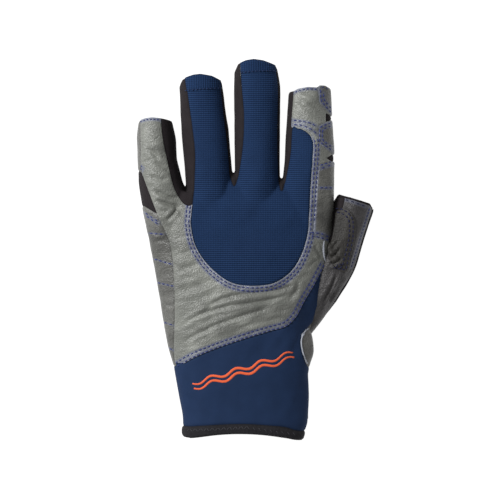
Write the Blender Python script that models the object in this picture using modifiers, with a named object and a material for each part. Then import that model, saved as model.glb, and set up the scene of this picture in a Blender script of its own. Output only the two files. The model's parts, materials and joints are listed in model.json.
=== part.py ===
"""Left-hand fingerless sailing glove lying palm down: fingers along +Y, thumb side +X, back of the hand +Z.

Every panel is a curved sheet laid on one of three kinds of tube: the hand and cuff tube, the four finger
tubes and the thumb tube. Lengths in the tables are millimetres and are turned into metres as meshes are made.
"""
import math

import bmesh
import bpy
from mathutils import Vector

GLOVE = "sailing_glove"
MM = 0.001
WALL = 1.2  # leather, knit and neoprene with its lining
PATCH_WALL = 1.0  # reinforcement patches laid on a panel
SEAM = 0.5  # clear space between neighbouring panels
LIFT = 0.45  # clear space under a patch
SQUARENESS = 2.5  # superellipse exponent of every tube section

HAND_MID_Z = 15.5  # height of the hand tube's centre line
HAND_PIVOT = (0, 0, 0)
HAND_LEFT_EDGE = [(-99, -37.6), (-87.4, -38), (-77, -40), (-61, -42.6), (-38.3, -47.4), (-20.5, -50.4),
                  (3.3, -54.8), (24.1, -59.3), (40, -60.6)]
HAND_RIGHT_EDGE = [(-99, 24.4), (-91.9, 27), (-77, 28), (-65.9, 27.2), (-54.7, 29.6), (-45, 29.2),
                   (-41, 28.2), (-37.5, 29.9), (-27, 35.2), (-17, 35.9), (-8, 36.7), (0, 38.2), (12, 40.3), (40, 40.4)]
HAND_RISE = [(-99, 13.5), (-62, 14.5), (-20, 15.6), (10, 14.8), (40, 12)]
HAND_DROP = [(-99, 9.4), (-70, 10), (-52, 13.6), (40, 13.7)]

FINGER_MID_Z = 15
FINGER_AXIS_Z = 9  # knuckle hinges lie near the palm side, where the crease forms
FINGER_RANGE = 60
FINGER_RISE = (11.8, 10.8)  # at the knuckle and at the open end
FINGER_DROP = (11.5, 10.2)
FINGERS = {
    "little": {"base": (-49.1, 24.5), "end": (-53.3, 68.6), "half": (10.9, 8.8)},
    "ring": {"base": (-24.2, 29.5), "end": (-29.1, 92.0), "half": (11.0, 10.7)},
    "middle": {"base": (0.9, 34.0), "end": (0.5, 100.2), "half": (11.1, 11.0)},
    "index": {"base": (27.75, 29.5), "end": (28.7, 85.4), "half": (12.55, 10.5)},
}
BACK_ARC = (38, 142)  # degrees round a finger tube, 90 is straight up
PALM_ARC = (218, 322)
INNER_ARC = (-34, 34)  # the side towards the thumb
OUTER_ARC = (146, 214)
INDEX_KNIT_SPAN = (0.0, 0.615)  # shares of the index finger's length
INDEX_CAP_SPAN = (0.63, 1.0)
HAND_END = [(-59.4, 22.8), (-37.6, 25.1), (-36.4, 28.0), (-12.6, 29.9), (-11.4, 33.5), (13.2, 33.5),
            (14.4, 29.3), (40.6, 28.6)]
WEBS = {"web_little_ring": (-36.7, 28.6, 33.4), "web_ring_middle": (-11.7, 34.1, 41.5),
        "web_middle_index": (13.6, 34.1, 38.4)}
WEB_Z = (8.5, 24.5)
WEB_WALL = 1.0

KNIT_TOP = [(-33.0, 28.3), (-26, 28.8), (-19, 29.4), (-12.6, 29.9), (-11.4, 33.5), (-3, 33.5), (5, 33.5),
            (13.2, 33.5), (14.4, 29.3), (19, 29.2), (24, 29.1), (29.4, 28.9)]
KNIT_RIM = [(-33.9, 12.2), (-31.8, 1.8), (-26.6, -7.1), (-19.9, -13.8), (-12.4, -18.3), (-3.5, -19.6),
            (6.9, -19.3), (14.3, -16.5), (21.8, -9.3), (25.9, -1.2), (28.2, 9.3), (29.0, 18.2)]
YOKE_INNER = [(-33.7, 27.9), (-34.5, 12.0), (-32.5, 1.6), (-27.2, -7.5), (-20.3, -14.3), (-12.6, -18.9),
              (-3.5, -20.2), (7.1, -19.9), (14.7, -17.0), (22.3, -9.6), (26.5, -1.4), (28.8, 9.2)]
YOKE_OUTER = [(-55.0, 22.9), (-49.5, 12.5), (-44.9, 2.0), (-42.6, -12), (-41.7, -32), (-41.6, -56),
              (-23.0, -50.4), (-8.0, -45.2), (7.0, -40.6), (19.4, -34.0), (24.2, -25.8), (34.2, -8.6)]
WRIST_TOP = [(-40.6, -59.2), (-33.3, -56.1), (-22.8, -51.6), (-8.0, -46.4), (6.9, -41.9), (15.5, -39.6),
             (20.9, -34.8), (25.2, -26.8), (30.7, -17.6), (35.0, -10.4)]
WRIST_LOW = [(-40.5, -60.4), (-33, -58.9), (-23, -58.0), (-10, -57.6), (4, -57.6), (14, -57.8), (22.5, -58.6),
             (25.2, -42), (31.9, -27.8), (34.9, -15.5)]
OUTER_SIDE_TOP = [(-60, -42.2), (-32, -43.2), (-12, -44.3), (2, -46.5), (12.5, -51.1), (23.2, -56.7)]
OUTER_SIDE_Y = (-57, 22)
INDEX_SIDE_TOP = [(-3, 34.5), (6, 31.6), (10, 29.6), (29, 30.2)]
INDEX_SIDE_Y = (-2, 28)
OUTER_UNDER = 214  # degrees, where the outer side panel meets the palm
THUMB_UNDER = -34  # the same on the thumb's side
THUMB_ROOT_TOP = [(-58, 24.4), (-50, 25.6), (-43, 26.6)]
THUMB_ROOT_Y = (-57, -43)
PALM_SPAN = (218, 322)
PALM_START = -58
OVERLAY_X = (-33, 14)
OVERLAY_Y = (-36, 12)
OVERLAY_Z = (0, 1.15)
OVERLAY_CORNER = 9

WRIST_Y = -62
WRIST_RANGE = 25
CUFF_PIVOT = (0, WRIST_Y, HAND_MID_Z)
CUFF_END = -99
BINDING_DEPTH = 5.5
BINDING_GAP = 0.5
BINDING_OUTSET = 0.3
BINDING_WALL = 1.8
CUFF_BACK_ARC = (-12, 192)
CUFF_PALM_ARC = (200, 340)
BINDING_PALM_ARC = (204, 336)
LOOP_X = (-24, 6)
LOOP_Y = (-91, -74)
TAB_X = (-26, 27.2)
TAB_Y = (-92, -73)
TAB_Z = (1.0, 2.2)
HOOK_X = (-23, 6)
HOOK_Z = (2.6, 3.5)
HOOK_MARGIN = 2  # between the hook patch and the tab's long edges
HOOK_CORNER = 2
TAB_PIVOT = (29.4, -82.5, 3.2)
TAB_CORNER = 5

THUMB_MID_Z = 13
THUMB_RISE = [(0, 6.5), (0.35, 9.5), (1, 10.6)]
THUMB_DROP = [(0, 6.0), (0.35, 8.5), (1, 9.6)]
THUMB_INNER = [(31.2, -36.5), (36.6, -27), (37.2, -17.5), (38.2, -8), (39.7, 0.5), (42.0, 12), (42.8, 20),
               (43.8, 28.4)]
THUMB_OUTER = [(35.0, -36.6), (41.0, -27.8), (46.8, -18.5), (51.4, -9.3), (54.1, 0.6), (57.8, 12.2),
               (60.6, 19.8), (61.6, 22.8)]
THUMB_PIVOT = (29.6, -43, 13)
THUMB_BACK_ARC = (14, 160)
THUMB_PALM_ARC = (200, 346)
THUMB_SIDE_ARC = (165, 195)
THUMB_SIDE_SPAN = (0.45, 0.97)  # shares of the thumb's length
THUMB_PATCH_ARC = (45, 125)
THUMB_PATCH_SPAN = (0.52, 0.93)
PIPING_RADIUS = 0.9
PIPING_STEPS = 12

NAVY_KNIT = ((0.016, 0.035, 0.088), 0.85)
NAVY_NEOPRENE = ((0.014, 0.032, 0.080), 0.7)
GREY_LEATHER = ((0.235, 0.238, 0.215), 0.6)
DARK_LEATHER = ((0.115, 0.110, 0.098), 0.6)
BLACK_STRETCH = ((0.028, 0.025, 0.026), 0.8)
BLACK_BINDING = ((0.018, 0.017, 0.019), 0.75)
HOOK_BLACK = ((0.012, 0.012, 0.013), 0.7)


def start_empty():
    """Remove whatever the scene holds."""
    for old in list(bpy.data.objects):
        bpy.data.objects.remove(old, do_unlink=True)
    glove = bpy.data.collections.new(GLOVE)
    bpy.context.scene.collection.children.link(glove)
    return glove


def lookup(table, at):
    """Straight-line interpolation in a table of (position, value)."""
    for (p, low), (q, high) in zip(table, table[1:]):
        if at <= q:
            share = max(0.0, (at - p) / (q - p))
            return low + share * (high - low)
    return table[-1][1]


def walk(points, share):
    """The point at a share of the way through a list, each span counted alike."""
    along = share * (len(points) - 1)
    i = min(int(along), len(points) - 2)
    return Vector(points[i]).lerp(Vector(points[i + 1]), along - i)


def blend(pair, share):
    return pair[0] + share * (pair[1] - pair[0])


def rounded(value):
    """A cosine or sine, made squarer for the superellipse."""
    return math.copysign(abs(value) ** (2 / SQUARENESS), value)


def ring_offset(half, rise, drop, degrees):
    """Sideways and upward offset of a tube section at an angle."""
    angle = math.radians(degrees)
    side = half * rounded(math.cos(angle))
    up = (rise if math.sin(angle) > 0 else drop) * rounded(math.sin(angle))
    return side, up


def hand_section(y):
    left = lookup(HAND_LEFT_EDGE, y)
    right = lookup(HAND_RIGHT_EDGE, y)
    return (left + right) / 2, (right - left) / 2


def hand_point(y, degrees, outset=0.0):
    """A point of the hand and cuff tube."""
    middle, half = hand_section(y)
    rise, drop = lookup(HAND_RISE, y) + outset, lookup(HAND_DROP, y) + outset
    side, up = ring_offset(half + outset, rise, drop, degrees)
    return Vector((middle + side, y, HAND_MID_Z + up))


def hand_angle(x, y):
    """The angle at which the back of the hand tube stands over x."""
    middle, half = hand_section(y)
    share = max(-1.0, min(1.0, (x - middle) / half))
    return math.degrees(math.acos(math.copysign(abs(share) ** (SQUARENESS / 2), share)))


def back_point(x, y, outset=0.0):
    """A point on the back of the hand over (x, y)."""
    return hand_point(y, hand_angle(x, y), outset)


def setback(z, axis_z, sweep):
    """How far a rigid edge stays behind a hinge plane so that it can fold palmward by sweep."""
    return SEAM + max(0.0, axis_z - z) * math.tan(math.radians(sweep / 2))


def hinge_setback(z, middle_z, sweep):
    """The same for a hinge that folds both ways."""
    return SEAM + abs(z - middle_z) * math.tan(math.radians(sweep / 2))


def finish(name, mesh, glove, look, pivot, wall=0.0):
    """Make the object, with its origin on its body's joint and its own material."""
    shift = Vector(pivot) * MM
    for vertex in mesh.verts:
        vertex.co = vertex.co * MM - shift
    data = bpy.data.meshes.new(name)
    mesh.to_mesh(data)
    mesh.free()
    part = bpy.data.objects.new(name, data)
    part.location = shift
    glove.objects.link(part)
    colour, roughness = look
    material = bpy.data.materials.new(name)
    material.use_nodes = True
    shader = material.node_tree.nodes["Principled BSDF"]
    shader.inputs["Base Color"].default_value = (*colour, 1)
    shader.inputs["Roughness"].default_value = roughness
    shader.inputs["Metallic"].default_value = 0
    data.materials.append(material)
    for polygon in data.polygons:
        polygon.use_smooth = True
    if wall:
        solid = part.modifiers.new("wall", "SOLIDIFY")
        solid.thickness = wall * MM
        solid.offset = -1
    return part


def sheet(name, glove, look, pivot, point, columns, rows, outward, wall=WALL):
    """An open surface point(u, v) with wall thickness added on its inner side."""
    mesh = bmesh.new()
    grid = []
    for j in range(rows + 1):
        grid.append([mesh.verts.new(point(i / columns, j / rows)) for i in range(columns + 1)])
    for low, high in zip(grid, grid[1:]):
        for i in range(columns):
            mesh.faces.new((low[i], low[i + 1], high[i + 1], high[i]))
    mesh.normal_update()
    facing = sum((face.normal for face in mesh.faces), Vector())
    if facing.dot(Vector(outward)) < 0:
        bmesh.ops.reverse_faces(mesh, faces=mesh.faces[:])
    return finish(name, mesh, glove, look, pivot, wall)


def plate(name, glove, look, pivot, spans, corner, corner_steps=5):
    """A flat slab with rounded corners."""
    (x0, x1), (y0, y1), (z0, z1) = spans
    centres = [(x1 - corner, y1 - corner, 0), (x0 + corner, y1 - corner, 90),
               (x0 + corner, y0 + corner, 180), (x1 - corner, y0 + corner, 270)]
    mesh = bmesh.new()
    outline = []
    for cx, cy, start in centres:
        for step in range(corner_steps + 1):
            angle = math.radians(start + 90 * step / corner_steps)
            outline.append((cx + corner * math.cos(angle), cy + corner * math.sin(angle)))
    low = [mesh.verts.new((x, y, z0)) for x, y in outline]
    high = [mesh.verts.new((x, y, z1)) for x, y in outline]
    mesh.faces.new(high)
    mesh.faces.new(low[::-1])
    for i in range(len(outline)):
        k = (i + 1) % len(outline)
        mesh.faces.new((low[i], low[k], high[k], high[i]))
    part = finish(name, mesh, glove, look, pivot)
    for polygon in part.data.polygons:
        polygon.use_smooth = False
    return part


def back_band(name, glove, look, first, second, columns, rows):
    """A panel of the back of the hand between two plan curves with matching points."""
    def point(u, v):
        x, y = walk(first, u).lerp(walk(second, u), v)
        return back_point(x, y)
    return sheet(name, glove, look, HAND_PIVOT, point, columns, rows, (0, 0, 1))


def side_panel(name, glove, look, top_edge, under, ys, outward, columns=5, rows=9):
    """A panel folding round one side of the hand, from a seam on its back to the palm."""
    def point(u, v):
        y = blend(ys, v)
        return hand_point(y, blend((hand_angle(lookup(top_edge, y), y), under), u))
    return sheet(name, glove, look, HAND_PIVOT, point, columns, rows, outward)


def hand_palm_end(x):
    """Where the palm panel stops, short of the knuckle hinges."""
    return lookup(HAND_END, x) - setback(HAND_MID_Z - HAND_DROP[-1][1], FINGER_AXIS_Z, FINGER_RANGE)


def build_hand(glove):
    back_band("back_knit_panel", glove, NAVY_KNIT, KNIT_RIM, KNIT_TOP, 33, 8)
    back_band("back_leather_yoke", glove, GREY_LEATHER, YOKE_INNER, YOKE_OUTER, 33, 4)
    back_band("wrist_back_panel", glove, NAVY_NEOPRENE, WRIST_LOW, WRIST_TOP, 27, 3)
    side_panel("outer_side_panel", glove, DARK_LEATHER, OUTER_SIDE_TOP, OUTER_UNDER, OUTER_SIDE_Y, (-1, 0, 0))
    thumb_side = (1, 0, 0)
    side_panel("index_side_panel", glove, DARK_LEATHER, INDEX_SIDE_TOP, THUMB_UNDER, INDEX_SIDE_Y, thumb_side, rows=5)
    side_panel("thumb_root_panel", glove, DARK_LEATHER, THUMB_ROOT_TOP, THUMB_UNDER, THUMB_ROOT_Y, thumb_side, rows=4)

    def palm(u, v):
        degrees = blend(PALM_SPAN, u)
        end = hand_palm_end(hand_point(HAND_END[0][1], degrees).x)
        end = hand_palm_end(hand_point(end, degrees).x)
        return hand_point(blend((PALM_START, end), v), degrees)
    sheet("palm_panel", glove, DARK_LEATHER, HAND_PIVOT, palm, 30, 8, (0, 0, -1))
    plate("palm_overlay", glove, GREY_LEATHER, HAND_PIVOT, (OVERLAY_X, OVERLAY_Y, OVERLAY_Z), OVERLAY_CORNER)
    for name, (x, y0, y1) in WEBS.items():
        def web(u, v, x=x, ys=(y0, y1)):
            sag = math.sin(math.pi * v)  # the web curves back between the fingers
            y = blend((ys[0], ys[1] - WEB_WALL * (1 - sag)), u)
            return Vector((x + WEB_WALL / 2, y, blend(WEB_Z, v)))
        sheet(name, glove, BLACK_STRETCH, HAND_PIVOT, web, 3, 5, (1, 0, 0), WEB_WALL)


def finger_frame(finger):
    base, end = Vector(finger["base"]), Vector(finger["end"])
    return base, (end - base).normalized(), (end - base).length


def finger_panel(name, glove, look, finger, arc, columns, rows, span=(0.0, 1.0), outset=0.0, wall=WALL):
    """A strip of a finger tube between two angles, starting behind the knuckle's fold."""
    base, along, length = finger_frame(finger)

    def point(u, v):
        degrees = blend(arc, u)
        lowest = FINGER_MID_Z + ring_offset(1, FINGER_RISE[0], FINGER_DROP[0], degrees)[1]
        start = max(span[0] * length, setback(lowest, FINGER_AXIS_Z, FINGER_RANGE))
        reach = blend((start, span[1] * length), v)
        share = reach / length
        rise, drop = blend(FINGER_RISE, share) + outset, blend(FINGER_DROP, share) + outset
        side, up = ring_offset(blend(finger["half"], share) + outset, rise, drop, degrees)
        x = base.x + along.x * reach + along.y * side
        y = base.y + along.y * reach - along.x * side
        return Vector((x, y, FINGER_MID_Z + up))
    middle = math.radians(blend(arc, 0.5))
    outward = (math.cos(middle), 0, math.sin(middle))
    pivot = (*finger["base"], FINGER_AXIS_Z)
    return sheet(name, glove, look, pivot, point, columns, rows, outward, wall)


def build_fingers(glove):
    backs = {"little": GREY_LEATHER, "ring": NAVY_KNIT, "middle": NAVY_KNIT}
    for name, look in backs.items():
        finger_panel(f"{name}_back", glove, look, FINGERS[name], BACK_ARC, 7, 8)
    index = FINGERS["index"]
    finger_panel("index_back", glove, NAVY_KNIT, index, BACK_ARC, 7, 5, INDEX_KNIT_SPAN)
    finger_panel("index_cap", glove, GREY_LEATHER, index, BACK_ARC, 7, 4, INDEX_CAP_SPAN)
    for name, finger in FINGERS.items():
        thumb_side = DARK_LEATHER if name == "index" else BLACK_STRETCH
        finger_panel(f"{name}_inner_side", glove, thumb_side, finger, INNER_ARC, 5, 7)
        finger_panel(f"{name}_outer_side", glove, BLACK_STRETCH, finger, OUTER_ARC, 5, 7)
        finger_panel(f"{name}_palm", glove, DARK_LEATHER, finger, PALM_ARC, 7, 7)


def thumb_point(share, degrees, outset=0.0):
    inner, outer = walk(THUMB_INNER, share), walk(THUMB_OUTER, share)
    middle, half = (inner + outer) / 2, (outer - inner).length / 2
    across = (outer - inner).normalized()
    rise, drop = lookup(THUMB_RISE, share) + outset, lookup(THUMB_DROP, share) + outset
    side, up = ring_offset(half + outset, rise, drop, degrees)
    return Vector((middle.x + across.x * side, middle.y + across.y * side, THUMB_MID_Z + up))


def thumb_panel(name, glove, look, arc, span, columns, rows, outset=0.0, wall=WALL):
    def point(u, v):
        return thumb_point(blend(span, v), blend(arc, u), outset)
    middle = math.radians(blend(arc, 0.5))
    outward = (math.cos(middle), 0, math.sin(middle))
    return sheet(name, glove, look, THUMB_PIVOT, point, columns, rows, outward, wall)


def build_thumb(glove):
    thumb_panel("thumb_back", glove, DARK_LEATHER, THUMB_BACK_ARC, (0, 1), 9, 10)
    thumb_panel("thumb_palm", glove, DARK_LEATHER, THUMB_PALM_ARC, (0, 1), 8, 10)
    thumb_panel("thumb_inner_side", glove, BLACK_STRETCH, THUMB_SIDE_ARC, THUMB_SIDE_SPAN, 3, 5)
    thumb_panel("thumb_patch", glove, DARK_LEATHER, THUMB_PATCH_ARC, THUMB_PATCH_SPAN, 6, 5, LIFT + PATCH_WALL,
                PATCH_WALL)
    piping(glove)


def piping(glove):
    """Round piping down the thumb's outer edge, between its two panels."""
    curve = bpy.data.curves.new("thumb_piping", "CURVE")
    curve.dimensions = "3D"
    curve.bevel_depth = PIPING_RADIUS * MM
    curve.bevel_resolution = 2
    curve.use_fill_caps = True
    line = curve.splines.new("POLY")
    line.points.add(PIPING_STEPS)
    for i in range(PIPING_STEPS + 1):
        place = (thumb_point(i / PIPING_STEPS, 0) - Vector(THUMB_PIVOT)) * MM
        line.points[i].co = (*place, 1)
    holder = bpy.data.objects.new("piping_curve", curve)
    mesh = bmesh.new()
    mesh.from_mesh(holder.to_mesh())
    holder.to_mesh_clear()
    bpy.data.objects.remove(holder)
    for vertex in mesh.verts:
        vertex.co = vertex.co / MM + Vector(THUMB_PIVOT)
    finish("thumb_piping", mesh, glove, BLACK_BINDING, THUMB_PIVOT)


def cuff_strip(name, glove, look, arc, y_start, y_end, columns, rows, outset=0.0, wall=WALL):
    """A strip of the cuff tube; y_start may depend on the height for the wrist's fold."""
    def point(u, v):
        degrees = blend(arc, u)
        z = hand_point(WRIST_Y, degrees).z
        return hand_point(blend((y_start(z), y_end), v), degrees, outset)
    middle = math.radians(blend(arc, 0.5))
    outward = (math.cos(middle), 0, math.sin(middle))
    return sheet(name, glove, look, CUFF_PIVOT, point, columns, rows, outward, wall)


def build_cuff(glove):
    def fold(z):
        return WRIST_Y - hinge_setback(z, HAND_MID_Z, WRIST_RANGE)
    seam_y = CUFF_END + BINDING_DEPTH + BINDING_GAP
    cuff_strip("cuff_back", glove, NAVY_NEOPRENE, CUFF_BACK_ARC, fold, seam_y, 18, 6)
    cuff_strip("cuff_palm", glove, NAVY_NEOPRENE, CUFF_PALM_ARC, fold, seam_y, 14, 6)

    def hem(z):
        return CUFF_END + BINDING_DEPTH
    cuff_strip("cuff_binding_back", glove, BLACK_BINDING, CUFF_BACK_ARC, hem, CUFF_END, 18, 2, BINDING_OUTSET,
               BINDING_WALL)
    cuff_strip("cuff_binding_palm", glove, BLACK_BINDING, BINDING_PALM_ARC, hem, CUFF_END, 14, 2, BINDING_OUTSET,
               BINDING_WALL)

    def loop(u, v):
        x, y = blend(LOOP_X, u), blend(LOOP_Y, v)
        degrees = 360 - hand_angle(x, y)
        return hand_point(y, degrees, LIFT + PATCH_WALL)
    sheet("loop_patch", glove, HOOK_BLACK, CUFF_PIVOT, loop, 8, 3, (0, 0, -1), PATCH_WALL)
    plate("wrist_tab", glove, NAVY_NEOPRENE, TAB_PIVOT, (TAB_X, TAB_Y, TAB_Z), TAB_CORNER)
    hook_y = (TAB_Y[0] + HOOK_MARGIN, TAB_Y[1] - HOOK_MARGIN)
    plate("hook_patch", glove, HOOK_BLACK, TAB_PIVOT, (HOOK_X, hook_y, HOOK_Z), HOOK_CORNER)


def centre_on_floor(glove):
    """Put the middle of the glove's bounding box over the origin, with its lowest point on z = 0."""
    graph = bpy.context.evaluated_depsgraph_get()
    points = []
    for part in glove.objects:
        solid = part.evaluated_get(graph)
        points += [part.location + v.co for v in solid.data.vertices]
    low = Vector([min(p[k] for p in points) for k in range(3)])
    high = Vector([max(p[k] for p in points) for k in range(3)])
    shift = Vector((-(low.x + high.x) / 2, -(low.y + high.y) / 2, -low.z))
    for part in glove.objects:
        part.location += shift


def main():
    glove = start_empty()
    build_hand(glove)
    build_fingers(glove)
    build_thumb(glove)
    build_cuff(glove)
    bpy.context.view_layer.update()
    centre_on_floor(glove)
    bpy.context.view_layer.update()


main()
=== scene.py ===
import json
import math

import bpy
import numpy as np
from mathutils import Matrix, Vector, noise
from mathutils.bvhtree import BVHTree
from mathutils.kdtree import KDTree


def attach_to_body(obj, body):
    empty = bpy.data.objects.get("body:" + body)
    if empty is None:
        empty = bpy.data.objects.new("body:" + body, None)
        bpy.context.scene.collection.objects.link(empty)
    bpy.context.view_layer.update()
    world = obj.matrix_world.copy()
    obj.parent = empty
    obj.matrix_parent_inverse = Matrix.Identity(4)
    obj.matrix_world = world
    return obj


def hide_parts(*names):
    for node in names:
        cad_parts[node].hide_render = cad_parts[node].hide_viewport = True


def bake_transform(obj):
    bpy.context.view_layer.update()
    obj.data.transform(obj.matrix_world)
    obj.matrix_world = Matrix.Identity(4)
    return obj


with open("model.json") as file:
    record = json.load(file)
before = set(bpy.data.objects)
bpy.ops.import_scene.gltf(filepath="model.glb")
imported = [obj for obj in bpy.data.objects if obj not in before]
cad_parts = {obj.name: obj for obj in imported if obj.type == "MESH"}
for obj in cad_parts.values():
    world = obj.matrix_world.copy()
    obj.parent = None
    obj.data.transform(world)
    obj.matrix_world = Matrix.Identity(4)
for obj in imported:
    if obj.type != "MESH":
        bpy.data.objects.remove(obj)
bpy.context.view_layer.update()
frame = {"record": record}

MM = 0.001
VOXEL = 0.72

# ---------------- plan outlines, in millimetres
# Each row of a tube table is (y, left edge, right edge).
LITTLE = [(6, -55.5, -36), (24, -59.3, -36.2), (30, -60.4, -36.2), (35.3, -61.2, -38.9),
    (47.9, -61.9, -41.9), (59, -62.2, -42.5), (68, -61.4, -44.4), (82, -61, -45.6)]
RING = [(8, -36.4, -11.6), (30, -36, -11.6), (42, -37, -12.7), (54, -38.2, -13.8), (64.3, -38.9, -14.7),
    (72, -39.3, -15.9), (87.5, -40.1, -17.9), (92, -40, -18.3), (106, -40.3, -19.6)]
MIDDLE = [(12, -11.6, 13.4), (41, -10.5, 12.5), (57, -10.7, 12.7), (72, -10.8, 12.8), (86.6, -10.9, 12.8),
    (97, -10.8, 10.9), (114, -10.8, 10.4)]
INDEX = [(8, 13.4, 40.2), (33, 14.3, 40.7), (37.5, 14.9, 40.7), (46.4, 15.9, 40.8), (57, 16.3, 40.3),
    (67.3, 17, 39.7), (82, 18.1, 39.3), (98, 18.6, 39.1)]
FINGERS = (LITTLE, RING, MIDDLE, INDEX)
HAND = [(-108, -37.9, 24.3), (-98.6, -37.8, 24.6), (-91.9, -37.9, 27), (-87.4, -38.1, 27.4), (-77, -40, 28),
    (-66, -42, 27.5), (-60.5, -42.7, 28.6), (-54.7, -44.3, 30.1), (-46, -46, 29.3), (-42, -46.8, 28.4),
    (-38.3, -47.4, 30), (-27, -49.4, 35.4), (-18, -50.9, 36.3), (-8, -52.8, 36.9), (3.3, -54.9, 38.8),
    (12, -56.9, 40.4), (24.1, -59.4, 40.9), (30, -60.3, 40.9)]
HAND_RISE = [(-108, 13.2), (-85, 13.8), (-62, 14.6), (-30, 15.4), (0, 15.2), (15, 14), (24, 12.2),
    (30, 9.5)]
HAND_DROP = [(-108, 9.8), (-70, 10.6), (-52, 13.4), (20, 13.4), (30, 11)]
WEBS = [(-49, -24, 30.2), (-24, 1, 40.2), (1, 27, 37)]
WEB_LINES = [[(0, -36), (30, -36), (45, -39.8), (62, -41.6), (92, -43), (120, -43.5)],
    [(0, -11.6), (41, -11.6), (60, -12.8), (90, -14.5), (120, -15)],
    [(0, 13.8), (36, 13.8), (50, 14.2), (84, 15.4), (120, 15.6)]]
THUMB_OUTER = [(22, -54), (29, -45), (35.4, -37), (41.3, -28), (47.2, -18.4), (51.6, -10.1), (54.7, 0.3),
    (58.4, 12.2), (61.8, 21.4), (65.6, 32)]
THUMB_INNER = [(12, -47), (18, -39), (23, -30), (27, -20.5), (31, -11.5), (34.2, -3.2), (36.5, 6.8),
    (39.6, 17.5), (42.3, 27.5), (46, 39)]
MID_Z = 15.2
THUMB_MID_Z = 12.4
THUMB_HEM = 1.1
THUMB_SECTIONS = 40
PALM_SEAM_Z = 6.6
SWELL = 0.4  # what smoothing takes off the form, put back
FINGER_Z, HAND_Z = 15.0, 15.5
FINGER_RISE = [(0, 11), (20, 12.4), (40, 12.2), (70, 11.2), (115, 10.6)]
FINGER_DROP = [(0, 11.4), (40, 11.4), (70, 10.6), (115, 10)]
FINGER_SQUARENESS, HAND_SQUARENESS, WEB_SQUARENESS, THUMB_SQUARENESS = 2.25, 2.5, 2.6, 2.3  # 2 is an ellipse


def table(rows, at, column=1):
    """Linear interpolation in a table, or between the points of a line, whose first column grows."""
    return np.interp(at, [r[0] for r in rows], [r[column] for r in rows])


def smooth(points, closed=False, step=1.2):
    """A smooth curve through points, resampled about every step mm."""
    p = np.array(points, float)
    n = len(p)
    out = []
    for i in range(n if closed else n - 1):
        a, b = p[i], p[(i + 1) % n]
        before = p[i - 1] if closed or i > 0 else 2 * a - b
        after = p[(i + 2) % n] if closed or i < n - 2 else 2 * b - a
        count = max(1, int(np.linalg.norm(b - a) / step))
        for k in range(count):
            t = k / count
            out.append(0.5 * (2 * a + (b - before) * t + (2 * before - 5 * a + 4 * b - after) * t * t
                              + (3 * a - before - 3 * b + after) * t ** 3))
    return np.array(out if closed else out + [p[-1]])


def offset(line, distance):
    """A polyline moved sideways; positive is to the right of its direction."""
    tangent = np.gradient(line, axis=0)
    tangent /= np.maximum(np.linalg.norm(tangent, axis=1, keepdims=True), 1e-9)
    return line + np.reshape(distance, (-1, 1)) * np.stack([tangent[:, 1], -tangent[:, 0]], axis=1)


# ---------------- the worn form
def new_object(name, verts, faces):
    data = bpy.data.meshes.new(name)
    data.from_pydata(verts, [], faces)
    made = bpy.data.objects.new(name, data)
    bpy.context.scene.collection.objects.link(made)
    return made


def read(items, key, width, kind=float):
    """A property of every item of a mesh, as an array with a row for each."""
    out = np.zeros(len(items) * width, kind)
    items.foreach_get(key, out)
    return out.reshape(-1, width)


def tree_of(points):
    """A tree for finding the nearest of some points."""
    tree = KDTree(len(points))
    for k, p in enumerate(points):
        tree.insert(p, k)
    tree.balance()
    return tree


def tube_faces(rows, around):
    """The faces of a closed tube whose points run round each row in turn."""
    ring = [(j * around + k, j * around + (k + 1) % around) for j in range(rows - 1) for k in range(around)]
    ends = [tuple(range(around))[::-1], tuple(range((rows - 1) * around, rows * around))]
    return [(a, b, b + around, a + around) for a, b in ring] + ends


def tube(sections, squareness, around=40):
    """A closed loft through sections of (left point, right point, mid z, rise, drop)."""
    verts = []
    for left, right, z, rise, drop in sections:
        left, right = np.array(left, float), np.array(right, float)
        middle, half = (left + right) / 2, (right - left) / 2
        for k in range(around):
            angle = 2 * math.pi * k / around
            c, s = math.cos(angle), math.sin(angle)
            side = math.copysign(abs(c) ** (2 / squareness), c)
            up = (rise if s > 0 else drop) * math.copysign(abs(s) ** (2 / squareness), s)
            verts.append((*(middle + half * side), z + up))
    return verts, tube_faces(len(sections), around)


def upright_sections(rows, rise, drop, z, step=2.0):
    """Sections of a tube along Y, from its table and tables of its reach above and below z."""
    low, high = rows[0][0], rows[-1][0]
    return [((table(rows, y), y), (table(rows, y, 2), y), z, float(table(rise, y)), float(table(drop, y)))
            for y in np.linspace(low, high, int((high - low) / step) + 1)]


def form(name, tubes, smoothing, voxel):
    """One smooth closed surface round several overlapping tubes, as arrays of points and triangles."""
    verts, faces = [], []
    for v, f in tubes:
        faces += [tuple(i + len(verts) for i in face) for face in f]
        verts += v
    body = new_object(name, verts, faces)
    remesh = body.modifiers.new("union", "REMESH")
    remesh.mode = "VOXEL"
    remesh.voxel_size = voxel
    relax = body.modifiers.new("relax", "SMOOTH")
    relax.factor = 0.5
    relax.iterations = smoothing
    shaped = body.evaluated_get(bpy.context.evaluated_depsgraph_get())
    solid = shaped.to_mesh()
    solid.calc_loop_triangles()
    points = read(solid.vertices, "co", 3)
    triangles = read(solid.loop_triangles, "vertices", 3, int)
    shaped.to_mesh_clear()
    bpy.data.objects.remove(body)
    return points + normals_of(points, triangles) * SWELL, triangles


def normals_of(points, triangles):
    """The unit normal at each point, averaged over its triangles by their area."""
    n = np.zeros_like(points)
    a, b, c = (points[triangles[:, k]] for k in range(3))
    flat = np.cross(b - a, c - a)
    for k in range(3):
        np.add.at(n, triangles[:, k], flat)
    return n / np.maximum(np.linalg.norm(n, axis=1, keepdims=True), 1e-12)


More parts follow.
